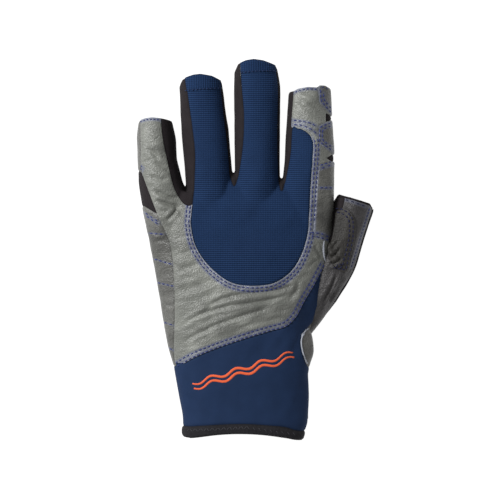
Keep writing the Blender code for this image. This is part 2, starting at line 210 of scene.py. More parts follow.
def hand_form(smoothing, voxel):
    """The hand, its four fingers and the webs between them."""
    tubes = [tube(upright_sections(rows, FINGER_RISE, FINGER_DROP, FINGER_Z), FINGER_SQUARENESS)
             for rows in FINGERS]
    tubes.append(tube(upright_sections(HAND, HAND_RISE, HAND_DROP, HAND_Z), HAND_SQUARENESS, 72))
    for left, right, end in WEBS:
        rows = [(end - 26, left, right), (end - 8, left, right), (end - 2.5, left + 6, right - 6),
                (end, left + 9, right - 9)]
        rise = [(end - 26, 13), (end - 14, 11.5), (end - 6, 8.5), (end - 2, 6), (end, 3.5)]
        drop = [(end - 26, 12), (end - 10, 10.5), (end - 3, 8), (end, 5)]
        tubes.append(tube(upright_sections(rows, rise, drop, FINGER_Z, 1.0), WEB_SQUARENESS))
    return form("hand_form", tubes, smoothing, voxel)


def thumb_form(smoothing, voxel):
    """The thumb, lofted between its two plan edges."""
    edges = [smooth(line, step=3) for line in (THUMB_INNER, THUMB_OUTER)]
    sections = []
    for k in range(THUMB_SECTIONS + 1):
        t = k / THUMB_SECTIONS
        sides = [[np.interp(t * (len(e) - 1), range(len(e)), e[:, i]) for i in (0, 1)] for e in edges]
        rise = float(np.interp(t, [0, 0.25, 0.6, 1], [6.0, 9.5, 10.6, 10.2]))
        sections.append((*sides, THUMB_MID_Z, rise, rise * 0.92))
    return form("thumb_form", [tube(sections, THUMB_SQUARENESS)], smoothing, voxel)


CLOTH_SCALE = 0.1
CLOTH_FRAMES = 14
CLOTH = {"quality": 6, "mass": 0.3, "tension_stiffness": 25, "compression_stiffness": 25,
         "shear_stiffness": 12, "bending_stiffness": 0.6, "air_damping": 3, "vertex_group_mass": "hold",
         "pin_stiffness": 1.0}
WRINKLE_LIMIT = 0.8
HELD = 0.02  # how firmly each point of the cloth is held where it was
BROAD_ROUNDS, CALM_ROUNDS = 70, 2  # of averaging: to find the broad swelling, and to calm the wrinkles


def buckle(points, triangles, growth):
    """How far each point of a coarse form moves, in mm, when its cloth grows too large and buckles."""
    body = new_object("slack", (points * CLOTH_SCALE).tolist(), triangles.tolist())
    body.vertex_groups.new(name="hold").add(list(range(len(points))), HELD, "REPLACE")
    cloth = body.modifiers.new("cloth", "CLOTH")
    for key, value in CLOTH.items():
        setattr(cloth.settings, key, value)
    cloth.settings.shrink_min = -growth
    cloth.settings.effector_weights.gravity = 0
    cloth.collision_settings.use_collision = False
    cloth.point_cache.frame_end = CLOTH_FRAMES
    scene = bpy.context.scene
    for k in range(CLOTH_FRAMES):
        scene.frame_set(k + 1)
    moved = read(body.evaluated_get(bpy.context.evaluated_depsgraph_get()).data.vertices, "co", 3)
    scene.frame_set(1)
    bpy.data.objects.remove(body)
    return moved / CLOTH_SCALE - points


def edges_of(triangles):
    """The directed edges of some triangles."""
    return np.concatenate([triangles[:, [0, 1]], triangles[:, [1, 2]], triangles[:, [2, 0]]])


def spread(value, triangles, times):
    """A value on a mesh's points, averaged with its neighbours a number of times."""
    edges = edges_of(triangles)
    total = np.bincount(edges.ravel(), minlength=len(value))
    for _ in range(times):
        sums = np.bincount(edges[:, 0], value[edges[:, 1]], len(value))
        sums += np.bincount(edges[:, 1], value[edges[:, 0]], len(value))
        value = 0.5 * value + 0.5 * sums / np.maximum(total, 1)
    return value


def cloth_wrinkles(coarse, points, growth):
    """The wrinkles of a coarse form's cloth, in mm along its surface normal, at a fine form's points."""
    at, triangles = coarse
    along = (buckle(at, triangles, growth) * normals_of(at, triangles)).sum(1)
    along = spread(along - spread(along, triangles, BROAD_ROUNDS), triangles, CALM_ROUNDS)
    along = np.clip(along, -WRINKLE_LIMIT, WRINKLE_LIMIT)
    tree = tree_of(at)
    out = []
    for p in points:
        near = tree.find_n(p, 4)
        weight = [1 / (d + 0.3) for _, _, d in near]
        out.append(sum(w * along[k] for w, (_, k, _) in zip(weight, near)) / sum(weight))
    return np.array(out)


# ---------------- cutting the form into panels
class Shell:
    """A triangle mesh that seams are cut into, with a panel name for each triangle."""

    def __init__(self, form):
        self.points, self.triangles = form
        self.label = np.full(len(self.triangles), "", dtype="U24")

    def cut(self, field, among=True):
        """Splits the triangles that field changes sign in, and tells which are then on its positive side."""
        value = np.where(np.abs(field) < 1e-3, 1e-3, field)
        tri = self.triangles
        positive = value[tri] > 0
        count = positive.sum(1)
        crossed = among & (count > 0) & (count < 3)
        t, p = tri[crossed], positive[crossed]
        lone = np.where(p.sum(1) == 1, p.argmax(1), (~p).argmax(1))
        row = np.arange(len(t))
        a, b, c = (t[row, (lone + k) % 3] for k in range(3))
        edges = np.sort(np.concatenate([np.stack([a, b], 1), np.stack([a, c], 1)]), axis=1)
        unique, index = np.unique(edges, axis=0, return_inverse=True)
        index = index.reshape(-1) + len(self.points)
        ends = value[unique]
        share = np.clip(ends[:, 0] / (ends[:, 0] - ends[:, 1]), 0.02, 0.98)[:, None]
        fresh = self.points[unique[:, 0]] * (1 - share) + self.points[unique[:, 1]] * share
        ab, ac = index[: len(t)], index[len(t):]
        side = p[row, lone]
        added = [np.stack(corners, 1) for corners in ((a, ab, ac), (ab, b, c), (ab, c, ac))]
        self.points = np.concatenate([self.points, fresh])
        self.triangles = np.concatenate([tri[~crossed]] + added)
        self.label = np.concatenate([self.label[~crossed]] + [self.label[crossed]] * 3)
        return np.concatenate([(count == 3)[~crossed], side, ~side, ~side])

    def region(self, name, field):
        """Gives the panel name to what is still unnamed where field is positive."""
        inside = self.cut(field(self.points), self.label == "")
        self.label[inside & (self.label == "")] = name


def inside_polygon(points, polygon):
    """Signed distance in plan to a closed polygon, positive inside."""
    xy = points[:, :2]
    low, high = polygon.min(0) - 4, polygon.max(0) + 4
    near = np.all((xy > low) & (xy < high), axis=1)
    out = np.full(len(points), -4.0)
    q = xy[near]
    best = np.full(len(q), 1e9)
    odd = np.zeros(len(q), bool)
    for i in range(len(polygon)):
        a, b = polygon[i], polygon[(i + 1) % len(polygon)]
        d = b - a
        t = np.clip(((q - a) @ d) / max(d @ d, 1e-9), 0, 1)
        best = np.minimum(best, np.hypot(*(q - a - t[:, None] * d).T))
        hit = (a[1] > q[:, 1]) != (b[1] > q[:, 1])
        at = a[0] + (q[:, 1] - a[1]) * d[0] / (d[1] if abs(d[1]) > 1e-9 else 1e-9)
        odd ^= hit & (q[:, 0] < at)
    out[near] = np.where(odd, best, -best)
    return out


def upper(outline, down_to):
    """Positive inside a plan outline and above a height."""
    return lambda p: np.minimum(inside_polygon(p, np.array(outline, float)), p[:, 2] - down_to)


def lower(outline, up_to):
    """Positive inside a plan outline and below a height."""
    return lambda p: np.minimum(inside_polygon(p, np.array(outline, float)), up_to - p[:, 2])


def under_curve(curve):
    """Positive below a curve that crosses the glove from left to right."""
    line = smooth(curve)
    line = line[np.argsort(line[:, 0])]
    return lambda p: table(line, p[:, 0]) - p[:, 1]


def past_end(curve, by=0.0):
    """Positive past a fingertip line, or from a hem's width below it."""
    return lambda p: p[:, 1] - table(curve, p[:, 0]) + by


# ---------------- seams, in plan
END_CURVE = [(-70, 66), (-61.4, 68), (-57.5, 68.9), (-54.1, 69.2), (-48.5, 68.7), (-44.4, 68),
    (-43.2, 67.8), (-42.3, 85.4), (-40.2, 86.9), (-38.8, 89.2), (-36.2, 90.5), (-32.5, 91.6), (-28.8, 92),
    (-22.8, 91.1), (-18.1, 89.1), (-15.5, 88), (-14, 93), (-10.9, 94.7), (-9.4, 97.5), (-5, 99.2),
    (-1, 99.8), (4, 99.2), (10.4, 97.2), (13.4, 95), (15, 81.5), (17.8, 83.1), (20.5, 83.3), (22.5, 84.3),
    (27.5, 85.1), (32.6, 84.9), (34, 86.1), (36.5, 86.1), (38.7, 85.1), (45, 83.5)]
CUFF_CURVE = [(-70, -99), (-37.7, -98.9), (-33.3, -99), (-19.9, -97), (-8, -96.4), (3.9, -97),
    (15.8, -98.8), (23.3, -100.4), (40, -102)]
BINDING_CURVE = [(-60, -93.6), (-37.4, -93.1), (-28.8, -92.3), (-16.9, -91.4), (-5, -91.1), (6.9, -91.9),
    (15.8, -93), (22.5, -95.2), (40, -98)]
# the sides of the two gaps between the knit's three runs, each down one finger and up the next
FORK_MI = [(18.1, 49.4), (15.1, 34), (14.1, 31), (12.6, 34.5), (11.9, 56.8), (12.2, 84), (11.4, 92),
    (10.2, 99)]
FORK_RM = [(-8, 98.9), (-7.5, 86.6), (-6.3, 71.7), (-6.6, 56.8), (-8.6, 42), (-10.9, 33.4), (-13.1, 38.5),
    (-13.9, 48), (-14.9, 58), (-16.5, 71.7)]
KNIT_OUTLINE = [
    (-37.3, 99), (-37.2, 92), (-35.2, 77.7), (-33.3, 64.3), (-31.8, 50.9), (-32, 39), (-32.6, 27.1),
    (-33.4, 20), (-33.7, 12.4), (-31.4, 2.2), (-26.1, -6.5), (-19.4, -13), (-12.1, -17.4), (-3.5, -18.9),
    (6.7, -18.3), (13.9, -15.4), (20.3, -9.5), (24.7, -1.3), (27.4, 8.1), (28.2, 18.2), (29, 33.1),
    (29.8, 45), (30.3, 54.3), (29.7, 57.6), (27.8, 60.5), (24.5, 62.9), (22, 63.5), (19.3, 63.9),
    *FORK_MI, (9.8, 106), (0, 107), (-8.3, 106), *FORK_RM, (-18, 86), (-18.6, 92), (-18.9, 99), (-28, 100)]
CAP_OUTLINE = [(19.4, 91), (20.2, 83.3), (19.3, 70), (19.2, 64.1), (22, 64), (24.8, 63.5), (28.5, 61.2),
    (30.7, 58.2), (31.3, 54.6), (33.1, 55.6), (33.2, 64.8), (36.6, 66.6), (36.9, 71.9), (33.3, 77.2),
    (32.8, 84.8), (32.8, 91)]
PATCH_A = [(32.8, 91), (32.9, 84.8), (33.3, 77.2), (39.9, 70.6), (46, 70.6), (46, 91)]
DARK_A = [(36.9, 71.9), (36.8, 67), (39.9, 68.2), (46, 68.4), (46, 70.6), (39.9, 70.6)]
PATCH_B = [(33, 64.8), (39.9, 68.2), (46, 68.2), (46, 50.2), (40.4, 50.2), (33, 56)]
DARK_B = [(37.1, 47.9), (40.4, 50.2), (46, 50.2), (46, 46.9), (39.9, 46.2)]
PATCH_C = [(32.9, 43.8), (40.4, 46.6), (46, 46.9), (46, 3.4), (38.9, 5), (30.3, 8.4), (31, 21), (32, 33)]
BLACK_LR = [(-49.4, 76), (-49.6, 68.5), (-48.4, 56.8), (-46.2, 46.4), (-43.6, 35), (-40.7, 28.1),
    (-37.2, 23.6), (-34.2, 22.8), (-32, 24.5), (-31.4, 27.1), (-30.6, 39), (-30.4, 50.9), (-32.1, 64.3),
    (-34.2, 77.7), (-36.2, 92), (-36.2, 100), (-45, 100)]
BLACK_RM = [(-18.9, 100), (-18.4, 90), *FORK_RM[::-1], (-8.3, 107), (-17, 107)]
BLACK_MI = [(10.2, 107), *FORK_MI[::-1], (19.3, 64.3), (20.2, 83.3), (19.4, 91), (16, 107)]
LITTLE_GUSSET = [(-66, 43), (-61.5, 41.4), (-59.3, 39.7), (-51.1, 18.2), (-58.5, 22.6), (-66, 24)]
OUTER_SEAM = [(-60.4, 70), (-60, 53.9), (-59.3, 39.7), (-51.1, 18.2), (-45.2, 4.8), (-43.2, -5.6),
    (-42.4, -17.5), (-42.1, -32.4), (-42.6, -47.3), (-42.5, -56.2), (-41.9, -61.5)]
CUFF_SEAM = [(-52, -66.3), (-41.2, -62), (-32.8, -56.9), (-22.3, -52.3), (-7.6, -47.1), (7.3, -42.6),
    (15.8, -40.2), (21.2, -35.2), (25.6, -27), (31.5, -17.3), (36.6, -8)]
TONGUE_SIDE = [(36.3, -11.6), (35.9, -26.4), (32.9, -35.4), (27.7, -41.3), (25, -44.3), (24, -48.7),
    (25, -54.7), (27.7, -61.4)]
ROOT_OUTLINE = TONGUE_SIDE[::-1] + [(36.4, -7.2), (38, -2), (46, -2), (46, -62), (32, -63)]
WEB_WALL_RANGE = [(12, 29), (17, 39.4), (14, 34.6)]
WALL_APART = 0.75  # from the line between two fingers to the lining on each side of it
WALL_INSET = 1.9
PALM_OVERLAY = [(-28, -35.6), (-9.5, -36.4), (9, -35.6), (13.4, -31), (14, -12), (13.4, 7), (9, 11.6),
    (-9.5, 12.4), (-28, 11.6), (-32.4, 7), (-33, -12), (-32.4, -31)]
PALM_HEM_Y = -59.5  # the neoprene goes all round the wrist below this
PAD_INSET, PAD_CORNER = 4.2, 2.5
PAD_RANGES = [(38, 60), (46, 75), (52, 83), (46, 73)]  # from the little finger to the index
THUMB_PATCH = [(41.4, 22.4), (45.2, 22.2), (48.8, 20.6), (51.4, 17.6), (52.4, 13.6), (52.1, 5), (50, -4),
    (48.9, -9.6), (48.2, -11.5), (45.4, -11.7), (42.2, -9), (38.6, -4), (38, 3), (39.4, 12)]
THUMB_BLACK = [(33, 4), (39.5, 4), (41.6, 14), (42.6, 20), (45.9, 22), (46.6, 32), (40, 34), (34, 14)]
THUMB_END = [(39.6, 24.2), (41, 25.2), (43.9, 29.3), (47, 28.2), (51.5, 26.9), (57, 25.3), (60.6, 24.2),
    (62, 22.4), (64.5, 20.2)]


def between_fingers(left, right, low, inset=2.4):
    """The strip between two fingers in plan, reaching inset mm onto each."""
    ys = np.linspace(low, 104, 30)
    reach = [inset * min(1, (y - low) / 6 + 0.15) for y in ys]
    onto_left = [(table(left, y, 2) - r, y) for y, r in zip(ys, reach)]
    onto_right = [(table(right, y, 1) + r, y) for y, r in zip(ys, reach)]
    return onto_left + onto_right[::-1]


def finger_pad(rows, low, high):
    """The outline of a grip patch on the palm side of a finger, with rounded corners."""
    out = []
    for column, inset, first, last in ((2, -PAD_INSET, low, high), (1, PAD_INSET, high, low)):
        turn = math.copysign(PAD_CORNER, last - first)
        edge = [(table(rows, y, column) + inset, y) for y in np.linspace(first + turn, last - turn, 4)]
        slant = math.copysign(PAD_CORNER, inset)
        out += [(edge[0][0] + slant, first)] + edge + [(edge[-1][0] + slant, last)]
    return smooth(out, True)


FINGER_PADS = [finger_pad(rows, *span) for rows, span in zip(FINGERS, PAD_RANGES)]


def name_hand_panels(shell):
    """Cuts the hand along its seams; what a region covers is out of reach of the later ones."""
    shell.region("void", past_end(END_CURVE))
    shell.region("void", under_curve(CUFF_CURVE))
    shell.region("binding", under_curve(BINDING_CURVE))
    shell.region("knit", upper(smooth(KNIT_OUTLINE, True, 0.8), MID_Z + 2))
    for name, outline in (("patch_a", PATCH_A), ("dark", DARK_A), ("patch_b", PATCH_B), ("dark", DARK_B),
                          ("patch_c", PATCH_C)):
        shell.region(name, upper(outline, PALM_SEAM_Z))
    shell.region("cap", upper(smooth(CAP_OUTLINE, True, 0.8), MID_Z))
    strips = (("black_lr", BLACK_LR, LITTLE, RING, 27), ("black_rm", BLACK_RM, RING, MIDDLE, 37),
              ("black_mi", BLACK_MI, MIDDLE, INDEX, 32))
    for name, outline, left, right, low in strips:
        shell.region(name, upper(smooth(outline, True, 0.8), MID_Z - 1))
        shell.region(name, lower(between_fingers(left, right, low), MID_Z))
    outer_side = [*smooth(OUTER_SEAM), (-70, OUTER_SEAM[-1][1]), (-70, OUTER_SEAM[0][1])]
    shell.region("little_gusset", upper(LITTLE_GUSSET, PALM_SEAM_Z))
    shell.region("outer_side", upper(outer_side, PALM_SEAM_Z))
    shell.region("thumb_root", upper(smooth(ROOT_OUTLINE, True), PALM_SEAM_Z))
    wrist = [*smooth(CUFF_SEAM), *smooth(TONGUE_SIDE), (32, -66), (32, -110), (-62, -110)]
    back = upper(wrist, MID_Z - 3)
    shell.region("neoprene", lambda p: np.maximum(back(p), PALM_HEM_Y - p[:, 1]))
    shell.region("yoke", lambda p: p[:, 2] - (MID_Z - 1))
    for outline in [smooth(PALM_OVERLAY, True)] + FINGER_PADS:
        shell.region("palm_overlay", lower(outline, MID_Z - 4))
    shell.label[shell.label == ""] = "palm"


# ---------------- rows of stitching, in plan
def rows_of(*curves):
    """Straight-sided rows."""
    return [np.array(curve, float) for curve in curves]


def smooth_rows(*curves):
    """Curved rows."""
    return [smooth(curve, step=0.5) for curve in curves]


HEM = [(-42, 82.4), (-37, 82.8), (-18.5, 84.2), (-13, 88), (-9, 92.2), (0, 92.8), (11, 93.4)]
KNIT_ROW_GAP = [(-34, 0.95), (0, 1.1), (25, 1.15), (29, 1), (31, 1)]
ROW_SPACING = 1.6
KNIT_EDGE, SEAM_LINE = smooth_rows([(-32.9, 23)] + KNIT_OUTLINE[7:24], CUFF_SEAM[1:])
KNIT_ROWS = [offset(KNIT_EDGE, table(KNIT_ROW_GAP, KNIT_EDGE[:, 0]) + k * ROW_SPACING) for k in (0, 1)]
CUFF_ROWS = [offset(SEAM_LINE, -0.45), offset(SEAM_LINE, -2.35)]
CAP_ROWS = smooth_rows(
    [(19.6, 67.9), (25, 66.9), (29.2, 65.9), (31.6, 64.6)],
    [(19.6, 65.5), (23.1, 65.3), (27.8, 63.6), (30.7, 61.7), (32, 60.2)])
PATCH_ROWS = rows_of(
    [(34, 84), (34.4, 77.8), (40.2, 71.9)], [(35.6, 82), (35.9, 78.4), (40.2, 74.1)],
    [(40.2, 66.9), (33.8, 64.1), (33.5, 56.4), (40.4, 52.1)],
    [(40.2, 65.2), (35.2, 62.9), (34.9, 57.2), (40.4, 53.8)], [(33.6, 43.9), (40.4, 46.4)],
    [(33.8, 42.3), (40.4, 44.6)], [(33.5, 32.3), (40.8, 32.4)], [(28.5, 8.9), (34.5, 8.4), (38.9, 6.4)],
    [(28.9, 7.3), (34.5, 6.2), (38.9, 4.7)])
SIDE_ROWS = rows_of(
    [(-58.4, 19.6), (-50.6, 14.4)], [(-57.6, 17.9), (-50.6, 13)], [(-56, 8.6), (-48, 8)],
    [(-53.6, -4.9), (-43.6, -7.8)], [(-51.9, -17.4), (-42.4, -19.3)], [(-48.8, -38.2), (-43, -39.8)],
    [(-46, -51.6), (-42.8, -53.2)])
END_ROWS = rows_of(
    [(-61, 67.1), (-57.5, 67.9), (-54.1, 68.2), (-50.2, 67.8)],
    [(20.6, 82.3), (22.5, 83.2), (27.5, 84.1), (32.4, 83.9)], [(34.4, 85.1), (36.5, 85.1), (38.6, 84.2)],
    [(-61, 44.8), (-58.6, 42.6)], [(-61.2, 43.2), (-59.2, 41.4)])
THUMB_ROWS = smooth_rows(
    [(41.8, 21.6), (45, 21.3), (48, 19.8), (50.4, 17), (51.3, 13.6), (51, 5), (48.9, -3.8), (47.6, -10.6)],
    [(42.4, 19.8), (45.6, 19), (48, 17.2), (49.3, 14), (48.9, 5), (46.8, -3.8), (45.6, -8.8)])
THUMB_EDGE_ROWS = smooth_rows(
    [(46.8, 26.4), (51.6, 24.9), (58.1, 22.6)], [(60.3, 21.9), (57.4, 12.2), (53.6, 0), (50.6, -9.5)])
THUMB_TACKS = [
    [(47.4, -10.8), (40.8, -9.4)], [(46, -8.2), (40.8, -6.6)], [(45.4, -8.2), (44.6, -10.4)],
    [(43.2, -7.4), (42.6, -9.8)], [(41.4, -6.8), (41, -9.4)]]
PALM_ROWS = smooth_rows(
    [(-58, 26), (-38, 27), (-24, 31)], [(-22, 31.5), (0, 36), (12, 34)], [(15, 32), (27, 31), (38, 30)],
    [(-40, -57.8), (-8, -57.8), (25, -57.8)], [(22, -54), (24, -30), (31, -2), (33, 22)],
    [(-45, -50), (-50, -20), (-55, 12), (-58, 40)])

# ---------------- creases and soft folds
CREASE_DEPTH = 1.5
CREASES = [  # (plan curve, depth, half width in mm)
    ([(-53.5, 31.5), (-47, 28), (-40.5, 26.2)], 0.8, 1.2),
    ([(-52, 26), (-45.5, 23.8), (-39, 21.6)], 0.8, 1.2),
    ([(-46.5, 15), (-43.5, 18), (-40.5, 22)], 0.5, 1.1),
    ([(-57.5, 53.5), (-54, 51), (-50, 47)], 0.6, 1.2),
    ([(-53, 46), (-48.5, 43.5), (-44.5, 40.8)], 0.5, 1.2),
    ([(-56, 38), (-50, 36.5), (-45.5, 36.5)], 0.45, 1.3),
    ([(21, -19.5), (8, -21.5), (-8, -23.5), (-19, -26.5), (-28, -32)], 0.45, 1.2),
    ([(20, -23.5), (8, -26), (-11, -29), (-23, -31.8), (-32, -35.5), (-40.5, -41)], 0.5, 1.2),
    ([(10, -30.5), (-2, -33), (-14, -37), (-26, -42), (-39.5, -49)], 0.45, 1.2),
    ([(14, -35.5), (2, -38), (-12, -42.5)], 0.25, 1.2),
    ([(22.5, -15.5), (21.5, -21), (17.5, -27)], 0.35, 1.3),
    ([(-22, -15.5), (-30, -19), (-40.5, -22.5)], 0.3, 2),
    ([(-29.5, -8), (-35, -9.5), (-41.5, -10.5)], 0.25, 1.8),
    ([(21.5, 80.1), (27.2, 76.8), (33.8, 73.2)], 0.5, 0.9),
    ([(22, 82), (28, 80.8), (33, 77.8)], 0.4, 0.8),
    ([(21.5, 77.5), (26, 74), (31, 70.5)], 0.35, 0.9),
    ([(30.5, 2.5), (33, -2), (34.5, -5.5)], 0.35, 0.9),
    ([(27.5, -9), (31, -6), (34.5, -5)], 0.3, 0.9),
    ([(-57.5, 15), (-53, 9), (-49, 6.5)], 0.3, 1.2),
    ([(-50.5, -26), (-46, -29), (-42.5, -30)], 0.3, 1.3)]
THUMB_CREASES = [
    ([(43.5, -12), (40.5, -19), (35, -29)], 0.7, 1.1),
    ([(45.5, -13), (43, -20), (38.5, -29)], 0.6, 1),
    ([(38.2, 5.6), (41, -0.5), (44.8, -5.8)], 0.6, 0.9),
    ([(37.6, -0.5), (40.6, -5), (43, -9)], 0.6, 0.9),
    ([(47, -13.5), (45.2, -18.5), (42, -25)], 0.45, 0.9),
    ([(38, -5), (41.5, -3.2), (44.5, 1)], 0.55, 1),
    ([(38, -1), (41, 1.2), (43.5, 5)], 0.5, 0.9),
    ([(38.5, 3.5), (41, 5.4), (42.5, 9)], 0.4, 0.9),
    ([(38, -8), (42, -7), (46, -4)], 0.5, 1)]


def crease_field(points, creases):
    """How far named creases move each point: a groove with a low ridge on each side, fading at its ends."""
    total = np.zeros(len(points))
    for curve, depth, width in creases:
        line = smooth(curve, step=1.0)
        near = np.all((points[:, :2] > line.min(0) - 5) & (points[:, :2] < line.max(0) + 5), axis=1)
        gap = np.linalg.norm(points[near, :2][:, None] - line[None], axis=2)
        along = gap.argmin(1) / max(1, len(line) - 1)
        fade = np.clip(np.minimum(along, 1 - along) * 5, 0, 1)
        g = gap.min(1) / width
        total[near] += fade * depth * (-np.exp(-g * g) + 0.45 * np.exp(-((g - 1.7) / 0.8) ** 2))
    return total


def undulate(points, size, seed):
    """Smooth noise at each point, its waves about size mm long."""
    shift = Vector((seed * 13.1, seed * 7.7, seed * 3.3))
    return np.array([noise.noise(Vector(p) / size + shift) for p in points])


def crumple(form, creases, soft, wrinkles):
    """Moves the form's surface in and out: broad waves, small puckers, simulated wrinkles, creases."""
    points, triangles = form
    normals = normals_of(points, triangles)
    upward = np.clip(normals[:, 2] * 2, 0, 1)
    move = soft * undulate(points, 16.0, 1) + 0.4 * soft * undulate(points, 6.5, 2) + wrinkles
    move += CREASE_DEPTH * upward * crease_field(points, creases)
    return points + normals * move[:, None], triangles


def suppleness(points):
    """How strongly the hand wrinkles: leather fully, knit and neoprene a little, the forks not at all."""
    in_knit = inside_polygon(points, smooth(KNIT_OUTLINE, True))
    knit = np.clip(in_knit / 3 + 0.5, 0, 1) * (points[:, 2] > MID_Z)
    cuff = np.clip((-52 - points[:, 1]) / 8, 0, 1)
    gap = np.full(len(points), 99.0)
    for line in WEB_LINES:
        across = np.abs(points[:, 0] - table(line, points[:, 1]))
        gap = np.minimum(gap, across + np.clip(20 - points[:, 1], 0, 99))
    return (1 - 0.75 * np.maximum(knit, cuff)) * np.clip((gap - 4) / 3, 0, 1)


# ---------------- materials
def linear(r, g, b):
    """An sRGB colour, 0 to 255, as linear values."""
    values = [v / 255 for v in (r, g, b)]
    return (*(v / 12.92 if v <= 0.04045 else ((v + 0.055) / 1.055) ** 2.4 for v in values), 1.0)


def darker(tone, k):
    """A linear colour times k."""
    return (*(c * k for c in tone[:3]), 1.0)


def shades(r, g, b, spread=0.3):
    """A darker, the same and a lighter tone of an sRGB colour."""
    return [darker(linear(r, g, b), k) for k in (1 - spread, 1.0, 1 + spread)]


WHITE, BLACK_OUT = (1, 1, 1, 1), (0, 0, 0, 1)
LAVENDER = linear(98, 104, 126)
PALE_EDGE = linear(132, 138, 154)


class Look:
    """One procedural material; its patterns are in mm on the glove before its pieces are thickened."""

    def __init__(self, name, roughness, specular):
        self.material = bpy.data.materials.new(name)
        self.material.use_nodes = True
        self.tree = self.material.node_tree
        self.shader = self.tree.nodes["Principled BSDF"]
        self.feed(self.shader, {"Roughness": roughness, "Specular IOR Level": specular})
        self.rest = self.mark("rest", "Vector")

    def feed(self, node, inputs):
        """Links or sets a node's inputs."""
        for key, value in inputs.items():
            if isinstance(value, bpy.types.NodeSocket):
                self.tree.links.new(value, node.inputs[key])
            else:
                node.inputs[key].default_value = value

    def node(self, kind, inputs, output=0, **settings):
        """Adds a node, and returns one of its outputs."""
        n = self.tree.nodes.new("ShaderNode" + kind)
        for key, value in settings.items():
            setattr(n, key, value)
        self.feed(n, inputs)
        return n.outputs[output]

    def mark(self, name, output="Fac"):
        """A value that each point of a piece carries."""
        return self.node("Attribute", {}, output, attribute_name=name)

    def math(self, operation, *values):
        return self.node("Math", dict(enumerate(values)), operation=operation)

    def total(self, *terms):
        """The sum of values, each times its weight."""
        (value, weight), *rest = terms
        out = self.math("MULTIPLY", value, weight)
        for value, weight in rest:
            out = self.math("MULTIPLY_ADD", value, weight, out)
        return out

    def vector(self, operation, *values, **named):
        return self.node("VectorMath", {**dict(enumerate(values)), **named}, operation=operation)

    def scaled(self, scale):
        return self.vector("MULTIPLY", self.rest, scale if hasattr(scale, "__len__") else (scale,) * 3)

    def noise(self, place, detail, distortion=0.0, output="Fac"):
        """Noise at a place, or at a scale along each axis."""
        place = place if isinstance(place, bpy.types.NodeSocket) else self.scaled(place)
        inputs = {"Vector": place, "Scale": 1.0, "Detail": detail, "Distortion": distortion}
        return self.node("TexNoise", inputs, output)

    def turned(self, size, degrees, detail, distortion):
        """Noise stretched along a direction on the back of the hand; size is in mm."""
        turn = {"Vector": self.rest, "Rotation": (0, 0, math.radians(degrees)), "Scale": size}
        return self.noise(self.node("Mapping", turn, vector_type="TEXTURE"), detail, distortion)

    def cells(self, place, feature="F1"):
        return self.node("TexVoronoi", {"Vector": place, "Scale": 1.0}, "Distance", feature=feature)

    def bands(self, axis, pitch, sway):
        """Ribs across an axis, pitch mm apart, that waver a little."""
        inputs = {"Vector": self.rest, "Scale": math.pi / 10 / pitch, "Distortion": sway, "Detail": 1.0}
        return self.node("TexWave", inputs, "Fac", wave_type="BANDS", bands_direction=axis)

    def ramp(self, fac, *stops):
        n = self.tree.nodes.new("ShaderNodeValToRGB")
        while len(n.color_ramp.elements) < len(stops):
            n.color_ramp.elements.new(0.5)
        for element, (place, colour) in zip(n.color_ramp.elements, stops):
            element.position = place
            element.color = colour
        self.feed(n, {"Fac": fac})
        return n.outputs["Color"]

    def mix(self, fac, a, b):
        return self.node("Mix", {0: fac, 6: a, 7: b}, 2, data_type="RGBA")

    def near(self, mark, low, high, amount=1.0):
        """An amount where a mark is below low mm, falling to 0 at high mm."""
        span = {"Value": self.mark(mark), "From Min": low, "From Max": high, "To Min": amount, "To Max": 0}
        return self.node("MapRange", span, "Result", interpolation_type="SMOOTHSTEP")

    def fine_lines(self):
        """A broken net of thin creases: 1 on a line, 0 away from it."""
        sway = self.vector("SCALE", self.noise(0.26, 2.0, output="Color"), Scale=1.6)
        net = self.cells(self.vector("ADD", self.scaled((0.2, 0.3, 0.2)), sway), "DISTANCE_TO_EDGE")
        line = self.ramp(net, (0, WHITE), (0.12, BLACK_OUT))
        broken = self.ramp(self.noise(0.14, 2), (0.42, BLACK_OUT), (0.62, WHITE))
        return self.math("MULTIPLY", line, broken)

    def finish(self, colour, height, strength, distance):
        """Gives the shader its colour and its relief, and returns the material."""
        bump = self.node("Bump", {"Height": height, "Strength": strength, "Distance": distance}, "Normal")
        self.feed(self.shader, {"Base Color": colour, "Normal": bump})
        return self.material


RIB_SWAY = 0.5
THREAD_SWAY = 0.4


def leather(name, tones, lace=0.6, cut_edge=0.5, gloss=0.42, specular=0.55):
    """Pebbled leather: grain, fine creases, soft folds, painted shade in its hollows, creases and grain
    grooves, painted shade and light from its tone mark, and a pale lavender band along rows of stitching.
    """
    dark, base, light = tones
    look = Look(name, gloss, specular)
    grain = look.cells(look.scaled((1.5, 1.25, 1.4)))
    folds = look.turned((17, 5.2, 8), 20, 1.2, 0.5)
    fine = look.turned((5.0, 1.9, 3.0), 14, 1.8, 0.8)
    creases = look.fine_lines()
    body = look.ramp(look.noise((0.06, 0.09, 0.07), 3.0, 0.8), (0.3, dark), (0.5, base), (0.7, light))
    # painted shade: the colour darkens in the hollows of the fine relief, in the thin creases and in the
    # grooves between grain cells
    hollow_shade = look.math("MAXIMUM", look.math("MULTIPLY", look.math("SUBTRACT", 0.56, fine), 0.36), 0.0)
    body = look.mix(look.total((grain, 0.16), (hollow_shade, 1.0), (creases, 0.1)), body, darker(dark, 0.45))
    body = look.mix(look.near("sewn", 0.7, 1.3, lace), body, LAVENDER)
    on_edge = look.math("MULTIPLY", look.near("seam", 0.25, 0.6, cut_edge), look.near("sewn", 1.9, 2.4))
    # the colour is scaled by the tone mark: spots of painted shade, and a few of painted light, laid on the
    # leather
    colour = look.vector("SCALE", look.mix(on_edge, body, PALE_EDGE), Scale=look.mark("tone"))
    look.feed(look.shader, {"Roughness": look.math("MULTIPLY_ADD", grain, 0.25, gloss - 0.1)})
    relief = look.total((folds, 1.8), (fine, 0.17), (grain, -0.42), (creases, -0.22))
    return look.finish(colour, relief, 0.85, 0.0006)


